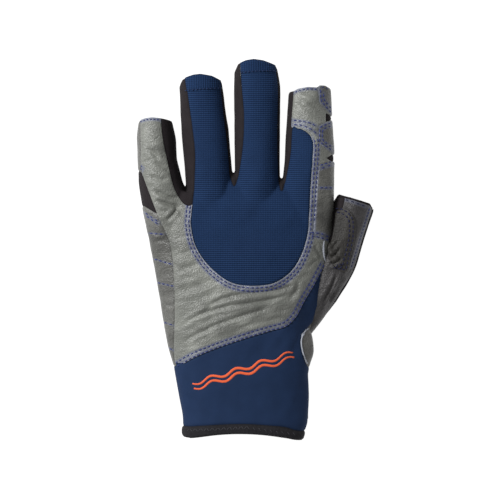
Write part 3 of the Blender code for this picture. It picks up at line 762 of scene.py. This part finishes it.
def knitted(name, tones, rib=1.06, wale=0.9):
    """Fine ribbed knit: courses across the hand, wales along it, the other way round on the folded hems."""
    dark, base, light = tones
    look = Look(name, 0.9, 0.1)
    courses, wales = look.bands("Y", rib, RIB_SWAY), look.bands("X", wale, RIB_SWAY)
    weave = look.mix(look.mark("hem"), look.total((courses, 0.76), (wales, 0.24)),
                     look.total((courses, 0.4), (wales, 0.6)))
    tone = look.total((weave, 0.6), (look.noise(0.12, 3.0), 0.2), (look.noise(2.2, 2.0), 0.2))
    body = look.ramp(tone, (0.28, dark), (0.5, base), (0.76, light))
    colour = look.mix(look.near("seam", 0.0, 0.9, 0.6), body, darker(dark, 0.5))
    return look.finish(colour, weave, 0.75, 0.0005)


def plain_cloth(name, tones, roughness=0.85, weave=0.55, strength=0.35, edge=0.5):
    """Close-woven or smooth cloth with a faint thread pattern."""
    dark, base, light = tones
    look = Look(name, roughness, 0.12)
    threads = look.math("ADD", look.bands("Y", weave, THREAD_SWAY), look.bands("X", weave, THREAD_SWAY))
    tone = look.total((threads, 0.22), (look.noise(0.15, 4.0), 0.6))
    body = look.ramp(tone, (0.25, dark), (0.5, base), (0.8, light))
    colour = look.mix(look.near("seam", 0.0, 0.9, edge), body, darker(dark, 0.5))
    return look.finish(colour, look.math("ADD", threads, look.noise(1.2, 3.0)), strength, 0.0003)


def hooks(name, tones):
    """Hook tape: rows of small bristles."""
    dark, base, light = tones
    look = Look(name, 0.6, 0.3)
    bristles = look.cells(look.scaled(1.25))
    colour = look.ramp(bristles, (0.15, light), (0.4, base), (0.65, dark))
    return look.finish(colour, look.math("MULTIPLY", bristles, -1.0), 1.0, 0.0009)


def thread(name, tones):
    """Twisted sewing thread."""
    look = Look(name, 0.6, 0.25)
    twist = look.noise(4.5, 2.0)
    return look.finish(look.ramp(twist, *zip((0.35, 0.5, 0.65), tones)), twist, 0.4, 0.0002)


GREY_LEATHER = leather("grey_leather", shades(122, 124, 118))
DARK_LEATHER = leather("dark_leather", shades(94, 94, 90))
# The thumb's leathers are darker than the grey leather partly by their own colour and partly by painted
# shade, as the thumb faces away from the light and lies in the index finger's shadow.
PATCH_LEATHER = leather("patch_leather", shades(64, 62, 59), 0.0, 0.0, 0.56, 0.3)
THUMB_LEATHER = leather("thumb_leather", shades(64, 62, 63), 0.35, 0.1, 0.5, 0.4)
PALM_LEATHER = leather("palm_leather", shades(80, 79, 76), 0.4, 0.4, 0.5)
KNIT = knitted("navy_knit", shades(27, 47, 79, 0.38))
NEOPRENE = plain_cloth("navy_neoprene", shades(27, 44, 73, 0.15), 0.8, 0.4, 0.14)
BLACK = plain_cloth("black_stretch", shades(39, 35, 37, 0.25), 0.9, 0.6, 0.5)
BINDING = plain_cloth("black_binding", shades(38, 37, 40, 0.25), 0.8, 0.7, 0.6)
STRAP = plain_cloth("strap_web", shades(36, 36, 40, 0.3), 0.8, 0.9, 0.8)
HOOK = hooks("hook_tape", shades(34, 34, 35, 0.5))
ORANGE = plain_cloth("orange_print", shades(222, 98, 60, 0.08), 0.6, 0.5, 0.15, 0.0)
PALE = plain_cloth("pale_cut_edge", shades(168, 172, 182, 0.12), 0.8, 0.5, 0.4, 0.3)
THREAD_BLUE = thread("thread_blue", shades(42, 51, 108, 0.5))
THREAD_DARK = thread("thread_dark", shades(26, 28, 58, 0.3))
THREAD_NAVY = thread("thread_navy", shades(26, 40, 74, 0.3))
THREAD_BLACK = thread("thread_black", shades(62, 61, 66, 0.3))

PANELS = {}  # label: (material, how far the panel stands above the form in mm)
for material, lift, labels in (
        (KNIT, 0, "knit"), (GREY_LEATHER, 0.4, "yoke cap"), (DARK_LEATHER, 0.6, "patch_a patch_b"),
        (DARK_LEATHER, 0.55, "patch_c"), (DARK_LEATHER, 0.2, "outer_side"),
        (DARK_LEATHER, 0.7, "palm_overlay"),
        (BLACK, 0, "dark black_lr black_rm black_mi little_gusset thumb_edge thumb_black"),
        (NEOPRENE, 0, "neoprene"), (BINDING, 0.3, "binding"), (PALM_LEATHER, 0, "palm thumb_root thumb_palm"),
        (THUMB_LEATHER, 0, "thumb_back"), (PATCH_LEATHER, 0.6, "thumb_patch")):
    for label in labels.split():
        PANELS[label] = (material, lift)
LEATHERS = (GREY_LEATHER, DARK_LEATHER, PATCH_LEATHER, THUMB_LEATHER, PALM_LEATHER)
WALL = 1.15  # mm from the form down to a panel's inner side, where THICKNESS says nothing
THICKNESS = {"neoprene": 2.2, "binding": 2.6}

# ---------------- which body a point goes with
JOINTS = {j["child"]: j for j in frame["record"]["behaviour"]["joints"]}
NAMES = ("little", "ring", "middle", "index")
FINGER_BODIES = [f"{name}_finger" for name in NAMES]
FINGER_START, FINGER_FULL = -8.0, 8.0
CUFF_START, CUFF_FULL = -53.0, -71.0
BLENDS = {  # zone: the two bodies it bends between, and where its bend starts and ends
    "cuff": ("hand", "cuff", (0, CUFF_START * MM, MID_Z * MM), (0, CUFF_FULL * MM, MID_Z * MM)),
    "tab_root": ("cuff", "tab", (0.0272, -0.0825, 0.0092), (0.0255, -0.0825, 0.0020)),
    "thumb": ("hand", "thumb", (0.0285, -0.047, 0.012), (0.0400, -0.0230, 0.012))}


def hinge(body):
    """(point in mm, unit direction that the child reaches in at rest) of a finger's hinge."""
    ax = JOINTS[body]["axis"]
    return np.array(JOINTS[body]["pos_m"]) / MM, np.array((ax[1], -ax[0], 0.0))


for body in FINGER_BODIES:
    origin, along = hinge(body)
    bend = [tuple((origin + along * reach) * MM) for reach in (FINGER_START, FINGER_FULL)]
    BLENDS[body] = ("hand", body, *bend)


def hand_zone(points):
    """The zone of each point on the hand form."""
    x, y = points[:, 0], points[:, 1]
    zone = np.full(len(points), "hand", dtype="U16")
    zone[y < CUFF_START] = "cuff"
    edges = [-200.0] + [table(w, y) for w in WEB_LINES] + [200.0]
    for i, body in enumerate(FINGER_BODIES):
        origin, along = hinge(body)
        zone[(x >= edges[i]) & (x < edges[i + 1]) & ((points - origin) @ along > FINGER_START)] = body
    return zone


def thumb_zone(points):
    """The zone of each point on the thumb form."""
    return np.full(len(points), "thumb", dtype="U16")


def attach(piece, zone):
    """Parents a piece to its zone's body; a piece in a zone that bends between two bodies only has its
    transform baked.
    """
    if zone in BLENDS:
        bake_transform(piece)
    else:
        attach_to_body(piece, zone)


# ---------------- making the pieces
MARKS = {"seam": 9.0, "sewn": 9.0, "hem": 0.0, "tone": 1.0}  # what a material reads if a piece says nothing


def build_mesh(name, verts, faces, material, zone, rest=None, marks=None, normals=None):
    """A mesh object from arrays in mm, with the values its material reads, bound to its zone."""
    piece = new_object(name, (verts * MM).tolist(), faces if isinstance(faces, list) else faces.tolist())
    data = piece.data
    data.polygons.foreach_set("use_smooth", [True] * len(data.polygons))
    place = data.attributes.new("rest", "FLOAT_VECTOR", "POINT")
    place.data.foreach_set("vector", np.asarray(verts if rest is None else rest, np.float32).ravel())
    for key, plain in MARKS.items():
        value = (marks or {}).get(key, np.full(len(verts), plain))
        data.attributes.new(key, "FLOAT", "POINT").data.foreach_set("value", np.asarray(value, np.float32))
    data.materials.append(material)
    if normals is not None:
        data.normals_split_custom_set_from_vertices(normals.tolist())
    attach(piece, zone)


def border_edges(triangles):
    """Directed edges used by one triangle only."""
    edges = edges_of(triangles)
    _, index, count = np.unique(np.sort(edges, axis=1), axis=0, return_inverse=True, return_counts=True)
    return edges[count[index.reshape(-1)] == 1]


def shell_faces(triangles, count):
    """The outer faces, the inner ones, whose points follow the count outer ones, and the wall between."""
    a, b = border_edges(triangles).T
    return np.concatenate([triangles, triangles[:, ::-1] + count, np.stack([b, a, a + count], 1),
                           np.stack([b, a + count, b + count], 1)])


PAINTED_SHADE_AND_LIGHT = [  # (x, y, reach in mm, factor): spots of painted shade on the leather, and of painted light where factor is above 1
    (20, -24, 16, 0.62), (0, -33, 14, 0.8), (-20, -44, 12, 0.8), (-44, 4, 14, 0.78), (-54, 36, 12, 0.72),
    (-58, 2, 12, 0.8), (36, 42, 18, 0.9), (34, 20, 8, 0.85), (44, 6, 10, 0.6), (46, 20, 8, 0.75),
    (56, 4, 7, 1.4), (41, 13, 6, 0.45), (43, -3, 5, 0.85), (27, 76, 10, 0.86), (-54, 56, 11, 0.86),
    (41, 80, 8, 0.7), (41, 58, 9, 0.78), (-45, -18, 11, 0.86), (-44, -38, 11, 0.86)]


def tone_at(points):
    """How much painted shade darkens, or painted light lightens, the leather at each point."""
    tone = np.ones(len(points))
    for x, y, reach, factor in PAINTED_SHADE_AND_LIGHT:
        apart = (points[:, 0] - x) ** 2 + (points[:, 1] - y) ** 2
        tone *= 1 + (factor - 1) * np.exp(-(apart / reach ** 2))
    return tone


def distance_to_rows(points, rows, upward):
    """Each point's distance in plan to the nearest of some rows of stitching, if it faces their way."""
    samples = np.concatenate([smooth(r, step=0.4) if len(r) < 8 else r for r in rows])
    tree = tree_of([(x, y, 0) for x, y in samples])
    out = np.full(len(points), 9.0)
    for k in np.flatnonzero(upward):
        out[k] = tree.find((points[k, 0], points[k, 1], 0))[2]
    return out


SIDE_ROW_FAINT = 0.5  # mm added to the distance from the outer side's rows, which draw the leather up less
OVERLAID = ("yoke", "cap", "patch_a", "patch_b", "patch_c", "thumb_patch", "palm_overlay")
LACED = {"yoke": KNIT_ROWS + CUFF_ROWS + PATCH_ROWS[7:] + END_ROWS, "cap": CAP_ROWS + END_ROWS,
         "patch_a": PATCH_ROWS, "patch_b": PATCH_ROWS, "patch_c": PATCH_ROWS + KNIT_ROWS,
         "outer_side": SIDE_ROWS, "thumb_patch": THUMB_ROWS, "thumb_back": THUMB_EDGE_ROWS}


def panel_marks(label, points, outward, border):
    """What a panel's material reads; seam and sewn are distances from its border and from its rows."""
    rim = tree_of(border)
    marks = {"seam": np.array([rim.find(p)[2] for p in points])}
    if label in LACED:
        marks["sewn"] = distance_to_rows(points, LACED[label], outward[:, 2] > 0.1)
        marks["sewn"] += SIDE_ROW_FAINT if label == "outer_side" else 0
    if label == "knit":
        marks["hem"] = np.clip((points[:, 1] - table(HEM, points[:, 0])) / 0.7, 0, 1)
    # tone: spots of painted shade, and a few of painted light, on the leathers
    if PANELS[label][0] in LEATHERS:
        marks["tone"] = tone_at(points)
    return marks


def bell(distance, width):
    """1 at no distance, falling smoothly to about 0 at twice the width."""
    return np.exp(-(distance / width) ** 2)


SEAM_SINK, SEAM_WIDTH = 0.34, 0.62  # how deep and wide, in mm, a seam draws its panels in
ROW_SINK, ROW_WIDTH = 0.16, 0.55
HEM_FOLD, BINDING_SWELL, PAD_SWELL = 0.45, 0.35, 0.35


def panel_rise(label, marks):
    """How far each point of a panel stands above the form, in mm."""
    lift, gap = PANELS[label][1], marks["seam"]
    if label in OVERLAID:
        rise = lift * (1 - 0.55 * bell(gap, 0.35))
    else:
        rise = lift * np.clip(gap / 0.9, 0, 1) - SEAM_SINK * bell(gap, SEAM_WIDTH)
    if label in LACED:
        rise -= ROW_SINK * bell(marks["sewn"], ROW_WIDTH)
    if label == "knit":
        rise += HEM_FOLD * marks["hem"]
    if label == "binding":
        rise += BINDING_SWELL * np.sin(np.clip(gap / 5.5, 0, 1) * math.pi)
    if label == "palm_overlay":
        rise += PAD_SWELL * np.clip((gap - 3.4) / 4, 0, 1)
    return rise


def lay_panel(shell, normals, label, zone_of):
    """Thickens a panel, makes a piece of it for each zone and returns its outer surface."""
    used, flat = np.unique(shell.triangles[shell.label == label], return_inverse=True)
    tri = flat.reshape(-1, 3)
    points, outward = shell.points[used], normals[used]
    marks = panel_marks(label, points, outward, points[np.unique(border_edges(tri))])
    outer = points + outward * panel_rise(label, marks)[:, None]
    inner = points - outward * THICKNESS.get(label, WALL)
    shade = normals_of(outer, tri)
    zone = zone_of(points[tri].mean(1))
    for name in np.unique(zone):
        part = tri[zone == name]
        own, flat = np.unique(part, return_inverse=True)
        title = f"{label}_{'panel' if name == 'thumb' else name}"
        faces = shell_faces(flat.reshape(-1, 3), len(own))
        build_mesh(title, np.concatenate([outer[own], inner[own]]), faces,
                   PANELS[label][0], name, np.tile(points[own], (2, 1)),
                   {key: np.tile(value[own], 2) for key, value in marks.items()},
                   np.concatenate([shade[own], -outward[own]]))
    return outer, tri


def lay_panels(shell, zone_of, labels):
    """Lays the panels of a cut form, and returns a tree for finding their finished outer surface."""
    normals = normals_of(shell.points, shell.triangles)
    verts, faces, start = [], [], 0
    for label in labels.split():
        outer, tri = lay_panel(shell, normals, label, zone_of)
        verts.append(outer)
        faces.append(tri + start)
        start += len(outer)
    return BVHTree.FromPolygons(np.concatenate(verts).tolist(), np.concatenate(faces).tolist())


def drop(tree, x, y, upward=True):
    """Where a vertical line through (x, y) first meets the surface from above, or from below."""
    start, way = ((x, y, 80), (0, 0, -1)) if upward else ((x, y, -40), (0, 0, 1))
    place, normal, _, _ = tree.ray_cast(Vector(start), Vector(way))
    if place is None:
        return None, None
    return place, (-normal if (normal.z < 0) == upward else normal)


STITCHES = {}  # (thread, zone): the points and faces of its stitches
STITCH_STATIONS, STITCH_AROUND = 6, 6
STITCH_FACES = tube_faces(STITCH_STATIONS, STITCH_AROUND)
SHORT = {"pitch": 1.8, "length": 1.3}


def one_stitch(centre, tangent, normal, length, radius):
    """The points of a short bowed thread with its ends sunk in the cloth."""
    side = normal.cross(tangent).normalized()
    verts = []
    for i in range(STITCH_STATIONS):
        u = -1 + 2 * i / (STITCH_STATIONS - 1)
        middle = centre + tangent * (u * length / 2) + normal * radius * (0.75 - 1.7 * u ** 4)
        r = radius * (1 - 0.45 * u ** 4)
        for k in range(STITCH_AROUND):
            angle = 2 * math.pi * k / STITCH_AROUND
            verts.append(middle + side * (r * math.cos(angle)) + normal * (r * math.sin(angle)))
    return verts


def sew(line, colour, tree, zone_of, pitch=2.4, length=1.9, radius=0.27, upward=True):
    """A row of stitches along a plan curve on a surface; zone_of is a function, or one zone's name."""
    line = np.asarray(line, float)
    along = np.concatenate([[0], np.cumsum(np.linalg.norm(np.diff(line, axis=0), axis=1))])
    count = int(along[-1] / pitch)
    for k in range(count):
        at = (k + 0.5) * along[-1] / count
        reach = (at - length / 2, at + length / 2)
        ends = [[np.interp(s, along, line[:, i]) for i in (0, 1)] for s in reach]
        place, normal = drop(tree, *np.mean(ends, axis=0), upward)
        first, second = (drop(tree, *end, upward)[0] for end in ends)
        if place is None or first is None or second is None or (second - first).length > length * 2.5:
            continue
        if normal.z * (1 if upward else -1) < 0.12:
            continue
        zone = str(zone_of(np.array([place]))[0]) if callable(zone_of) else zone_of
        verts, faces = STITCHES.setdefault((colour, zone), ([], []))
        faces += [tuple(i + len(verts) for i in face) for face in STITCH_FACES]
        verts += one_stitch(place, (second - first).normalized(), normal, length, radius)


def thin_solid(name, points, quads, thickness, material, zone):
    """A surface given depth behind it, as one closed piece."""
    quads = np.array(quads)
    tri = np.concatenate([quads[:, :3], quads[:, [0, 2, 3]]])
    verts = np.concatenate([points, points - normals_of(points, tri) * thickness])
    build_mesh(name, verts, shell_faces(tri, len(points)), material, zone)


def grid_quads(rows, columns):
    """The faces of a grid of points."""
    return [(j * columns + i, (j + 1) * columns + i, (j + 1) * columns + i + 1, j * columns + i + 1)
            for j in range(rows - 1) for i in range(columns - 1)]


def ribbon(name, line, width, material, zone, raise_by, thickness=0.5, columns=5):
    """A narrow band on the hand along a plan curve; width is in mm, or one number for each point."""
    points = []
    for u in np.linspace(-0.5, 0.5, columns):
        for x, y in offset(line, u * np.broadcast_to(width, len(line))):
            place, normal = drop(hand_top, x, y)
            points.append(np.array(place + normal * (raise_by - abs(u) * 0.2)))
    thin_solid(name, np.array(points), grid_quads(columns, len(line)), thickness, material, zone)


def web_lining(name, line, side, low, high, zone, columns=14, rows=6):
    """A strip of lining inside the glove, between two fingers below their fork."""
    points = []
    for y in np.linspace(low, high, columns):
        x = float(table(line, y)) + side * WALL_APART
        top, floor = drop(hand_top, x, y)[0], drop(hand_top, x, y, False)[0]
        points += [(x, y, z) for z in np.linspace(floor.z + WALL_INSET, top.z - WALL_INSET, rows)]
    quads = [q[::-side] for q in grid_quads(columns, rows)]  # the two linings of a fork face apart
    thin_solid(name, np.array(points), quads, 0.6, BLACK, zone)


def welt(name, path, radius, material, zone, around=8):
    """A round piping along a path in mm, thin where it starts."""
    path = np.asarray(path, float)
    radius = radius * np.interp(np.arange(len(path)), [0, 7], [0.15, 1])[:, None, None]
    along = np.gradient(path, axis=0)
    along /= np.linalg.norm(along, axis=1, keepdims=True)
    side = np.cross(along, (0, 0, 1.0))
    side /= np.linalg.norm(side, axis=1, keepdims=True)
    up = np.cross(side, along)
    angles = np.arange(around) * 2 * math.pi / around
    verts = (path[:, None] + radius * (np.cos(angles)[None, :, None] * side[:, None]
                                       + np.sin(angles)[None, :, None] * up[:, None])).reshape(-1, 3)
    build_mesh(name, verts, tube_faces(len(path), around), material, zone)


PLATE_SHARES = [0, 0.02, 0.05, 0.1, 0.18, 0.3, 0.45, 0.62, 0.8, 0.93]  # of the way from edge to spine


def plate(name, low, high, corner, level, material, zone, swell=0.0):
    """A flat strap or patch with round corners and edges; level gives its (under, upper) z at (x, y)."""
    (x0, y0), (x1, y1) = low, high
    outline = []
    for cx, cy, start in ((x1 - corner, y0 + corner, -90), (x1 - corner, y1 - corner, 0),
                          (x0 + corner, y1 - corner, 90), (x0 + corner, y0 + corner, 180)):
        for a in range(0, 91, 15):
            angle = math.radians(start + a)
            outline.append((cx + corner * math.cos(angle), cy + corner * math.sin(angle)))
    outline = smooth(outline, True, 1.0)
    reach = (y1 - y0) / 2
    n, layers = len(outline), len(PLATE_SHARES)
    spine = np.stack([np.clip(outline[:, 0], x0 + reach, x1 - reach), np.full(n, (y0 + y1) / 2)], 1)
    verts, gaps = [], []
    for upper_side in (False, True):
        for share in PLATE_SHARES:
            for p, m in zip(outline, spine):
                x, y = p + (m - p) * share
                under, over = level(x, y)
                gap = share * float(np.linalg.norm(m - p))
                half = (over - under) / 2 * (0.4 + 0.6 * (1 - math.exp(-(gap / 0.5) ** 2)))
                half += 0 if upper_side else swell * min(1, gap / 3)
                verts.append((x, y, (over + under) / 2 + (half if upper_side else -half)))
                gaps.append(gap)
    top = n * layers
    ring = [(j * n + k, j * n + (k + 1) % n) for j in range(layers - 1) for k in range(n)]
    faces = []
    for a, b in ring:
        faces += [(a, a + n, b + n, b), (top + a, top + b, top + b + n, top + a + n)]
    faces += [(a, b, top + b, top + a) for a, b in ring[:n]]
    faces += [tuple(range(top - n, top))[::-1], tuple(range(2 * top - n, 2 * top))]
    verts = np.array(verts)
    build_mesh(name, verts, faces, material, zone, None, {"seam": np.array(gaps)})
    return BVHTree.FromPolygons(verts.tolist(), faces)


# ---------------- hand and thumb
fine_form = hand_form(6, VOXEL)
wrinkles = cloth_wrinkles(hand_form(3, 1.8), fine_form[0], 0.06) * suppleness(fine_form[0]) * 0.7
hand = Shell(crumple(fine_form, CREASES, 0.3, wrinkles))
name_hand_panels(hand)
for line in WEB_LINES:
    hand.cut(hand.points[:, 0] - table(line, hand.points[:, 1]))
HAND_LABELS = ("knit yoke cap patch_a patch_b patch_c dark black_lr black_rm black_mi little_gusset "
               "outer_side thumb_root neoprene binding palm palm_overlay")
hand_top = lay_panels(hand, hand_zone, HAND_LABELS)

fine_form = thumb_form(5, VOXEL)
wrinkles = cloth_wrinkles(thumb_form(3, 1.5), fine_form[0], 0.08) * 0.5
thumb = Shell(crumple(fine_form, THUMB_CREASES, 0.2, wrinkles))
thumb.region("void", past_end(THUMB_END))
thumb.region("thumb_edge", past_end(THUMB_END, THUMB_HEM))
thumb.region("thumb_black", upper(smooth(THUMB_BLACK, True), 5))
thumb.region("thumb_patch", upper(smooth(THUMB_PATCH, True), THUMB_MID_Z))
thumb.region("thumb_back", lambda p: p[:, 2] - THUMB_MID_Z)
thumb.label[thumb.label == ""] = "thumb_palm"
thumb_top = lay_panels(thumb, thumb_zone, "thumb_back thumb_patch thumb_edge thumb_black thumb_palm")

# ---------------- stitching
HEM_ROWS = []
for low, high in ((-37.5, -18.4), (-8.0, 10.6)):
    xs = np.linspace(low, high, 12)
    HEM_ROWS.append(np.stack([xs, table(HEM, xs) + 0.6], 1))
for rows, colour, kind in ((KNIT_ROWS + CUFF_ROWS + CAP_ROWS + PATCH_ROWS + SIDE_ROWS, THREAD_BLUE, {}),
                           (END_ROWS, THREAD_BLUE, SHORT), (HEM_ROWS, THREAD_NAVY, SHORT)):
    for row in rows:
        sew(row, colour, hand_top, hand_zone, **kind)
for row in THUMB_ROWS:
    sew(row, THREAD_DARK, thumb_top, "thumb", radius=0.34)
sew(THUMB_EDGE_ROWS[0], THREAD_DARK, thumb_top, "thumb")
sew(THUMB_EDGE_ROWS[1], THREAD_BLUE, thumb_top, "thumb", **SHORT, radius=0.2)
for tack in THUMB_TACKS:
    sew(tack, THREAD_DARK, thumb_top, "thumb", pitch=2.0, length=1.9, radius=0.32)

# a zig-zag row along the binding, on the back and on the palm side
zigzag_x = np.arange(-36, 23, 1.5)
zigzag_y = table([(-38, -95.2), (-5, -93.0), (25, -97.6)], zigzag_x) + 0.2
zigzag = np.stack([zigzag_x, zigzag_y + np.resize([-0.9, 0.9], len(zigzag_x))], 1)
for upward in (True, False):
    for k in range(len(zigzag) - 1):
        sew(zigzag[k:k + 2], THREAD_BLACK, hand_top, hand_zone, 2.2, 2.0, 0.16, upward)

# palm side: rows round the overlay and the grip patches, across the finger bases and along the cuff
overlay = smooth(PALM_OVERLAY, True, 0.5)
outlines = [(overlay, -1.1), (overlay, -2.8)] + [(pad, -1.0) for pad in FINGER_PADS]
for row in [offset(np.concatenate([line, line[:1]]), inward) for line, inward in outlines] + PALM_ROWS:
    sew(row, THREAD_BLUE, hand_top, hand_zone, upward=False)

# ---------------- edges, printed mark and closure
for k, (line, span) in enumerate(zip(WEB_LINES, WEB_WALL_RANGE)):
    for side, body in ((-1, FINGER_BODIES[k]), (1, FINGER_BODIES[k + 1])):
        web_lining(f"web_{k}_{body}", line, side, *span, body)
slip = smooth([(35.9, 4.6), (35.7, 1), (36, -3), (36.9, -7.2)], step=0.6)
slip_width = table([(0, 0.3), (0.4, 1.0), (1, 0.4)], np.linspace(0, 1, len(slip)))
ribbon("pale_slip", slip, slip_width, PALE, "hand", 0.5)
ribbon("root_edge", smooth(TONGUE_SIDE[3:], step=0.8)[:-2], 0.7, PALE, "hand", 0.55, 0.6)

MARK_START, MARK_END = np.array((-32.5, -71.6)), np.array((20.0, -55.4))
MARK_WAVES, MARK_RISE, MARK_POINTS = 4.0, 1.15, 90
mark_line = MARK_START + np.linspace(0, 1, MARK_POINTS)[:, None] * (MARK_END - MARK_START)
mark_swing = MARK_RISE * np.sin(np.linspace(0, 2 * math.pi * MARK_WAVES, MARK_POINTS))
mark_width = 1.35 * np.sin(np.linspace(0.35, math.pi - 0.35, MARK_POINTS)) ** 0.5
for k, step_down in enumerate((-1.5, 1.1)):
    wave = offset(mark_line, mark_swing + step_down)
    ribbon(f"orange_wave_{k}", wave, mark_width, ORANGE, "cuff", 0.1, 0.3)

welt_path = []
for x, y in smooth(THUMB_OUTER, step=1.0):
    if -34 < y < 21.6:
        place, normal, _, _ = thumb_top.find_nearest(Vector((x, y, THUMB_MID_Z + 1.6)))
        welt_path.append(np.array(place - normal * 0.1))
welt("thumb_welt", welt_path, 0.85, BINDING, "thumb")


def tab_level(x, y):
    """The tab's height, a little wavy along its length."""
    return 1.0 + 0.1 * math.sin(x / 6), 2.2 + 0.1 * math.sin(x / 6)


def cuff_under(x, y):
    """A height that sinks the loop patch into the cuff's palm side."""
    z = drop(hand_top, x, y, False)[0].z
    return z - 0.9, z + 0.7


tab_tree = plate("tab_strap", (-26, -91.8), (26.5, -73.2), 5.5, tab_level, STRAP, "tab", 0.2)
plate("hook_pad", (-23, -89.8), (6, -75.2), 3.0, lambda x, y: (2.35, 3.4), HOOK, "tab")
plate("loop_pad", (-24, -91.0), (6, -74.0), 3.0, cuff_under, HOOK, "cuff")
ROOT_PATH = [(23.6, 12.6), (25.6, 10.4), (26.9, 7.6), (27.2, 4.9), (26.4, 3), (24.6, 2.3), (21.5, 2.2)]
root_path = smooth(ROOT_PATH, step=0.7)  # (x, z) down the side of the wrist and under the tab
root_rows = np.array([(x, y, z) for y in np.linspace(-90.5, -74.5, 18) for x, z in root_path])
thin_solid("tab_root", root_rows, grid_quads(18, len(root_path)), 1.1, STRAP, "tab_root")
for inset in (1.4, 3.0):
    border = [(24 - inset, -90.9 + inset), (-20, -90.9 + inset), (-24.2 + inset, -86), (-24.2 + inset, -79),
              (-20, -74.1 - inset), (24 - inset, -74.1 - inset)]
    sew(smooth(border, step=0.5), THREAD_DARK, tab_tree, "tab", upward=False)
for (colour, zone), (verts, faces) in STITCHES.items():
    build_mesh(f"{colour.name}_{zone}", np.array([tuple(v) for v in verts]), faces, colour, zone)

# ---------------- what stands for each CAD node
STANDS_FOR = dict(
    knit_hand="back_knit_panel", yoke_hand="back_leather_yoke", yoke_little_finger="little_back",
    cap_index_finger="index_cap", neoprene_hand="wrist_back_panel", neoprene_cuff="cuff_back cuff_palm",
    binding_cuff="cuff_binding_back cuff_binding_palm", outer_side_hand="outer_side_panel",
    outer_side_little_finger="little_outer_side", patch_b_index_finger="index_inner_side",
    patch_c_hand="index_side_panel", thumb_root_hand="thumb_root_panel", palm_hand="palm_panel",
    palm_overlay_hand="palm_overlay", thumb_back_panel="thumb_back", thumb_patch_panel="thumb_patch",
    thumb_welt="thumb_piping", thumb_palm_panel="thumb_palm", thumb_black_panel="thumb_inner_side",
    tab_strap="wrist_tab", hook_pad="hook_patch", loop_pad="loop_patch")
for name in NAMES:
    STANDS_FOR[f"palm_{name}_finger"] = f"{name}_palm"
for name in NAMES[1:]:
    STANDS_FOR[f"knit_{name}_finger"] = f"{name}_back"
for label, near, far in zip(("black_lr", "black_rm", "black_mi"), NAMES, NAMES[1:]):
    STANDS_FOR[f"{label}_{near}_finger"] = f"{near}_inner_side"
    STANDS_FOR[f"{label}_{far}_finger"] = f"{far}_outer_side web_{near}_{far}"
for piece_name, nodes in STANDS_FOR.items():
    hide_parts(*nodes.split())

# ---------------- floor, light and camera
scene = bpy.context.scene
FLOOR_REACH, FLOOR_Z = 3, -0.0003
corners = [(x * FLOOR_REACH, y * FLOOR_REACH, FLOOR_Z) for x, y in ((-1, -1), (1, -1), (1, 1), (-1, 1))]
floor = new_object("floor", corners, [(0, 1, 2, 3)])
floor_look = Look("floor", 0.9, 0.5)
floor_look.feed(floor_look.shader, {"Base Color": (0.12, 0.12, 0.12, 1), "Emission Color": WHITE,
                                    "Emission Strength": 0.98})
floor.data.materials.append(floor_look.material)

scene.world = bpy.data.worlds.new("studio")
scene.world.use_nodes = True
background = scene.world.node_tree.nodes["Background"]
background.inputs["Color"].default_value = WHITE
background.inputs["Strength"].default_value = 0.42

KEY_PLACE, KEY_SIZE, KEY_POWER = Vector((-0.68, 0.42, 0.68)), 0.36, 12.5
key = bpy.data.lights.new("key", "AREA")
key.shape = "DISK"
key.size = KEY_SIZE
key.energy = KEY_POWER
key_holder = bpy.data.objects.new("key", key)
key_holder.location = KEY_PLACE
key_holder.rotation_euler = (-KEY_PLACE).to_track_quat("-Z", "Y").to_euler()
scene.collection.objects.link(key_holder)

VIEW_WIDTH = 265.0  # mm that the picture spans at the height of the knuckles
VIEW_CENTRE = (-2.8355, -0.265)
KNUCKLE_HEIGHT = 0.0155
camera_data = bpy.data.cameras.new("camera")
camera_data.lens = 120
camera_data.sensor_width = 36
camera = bpy.data.objects.new("camera", camera_data)
distance = VIEW_WIDTH * MM * camera_data.lens / camera_data.sensor_width
camera.location = (VIEW_CENTRE[0] * MM, VIEW_CENTRE[1] * MM, distance + KNUCKLE_HEIGHT)
scene.collection.objects.link(camera)
scene.camera = camera
scene.view_settings.view_transform = "Standard"
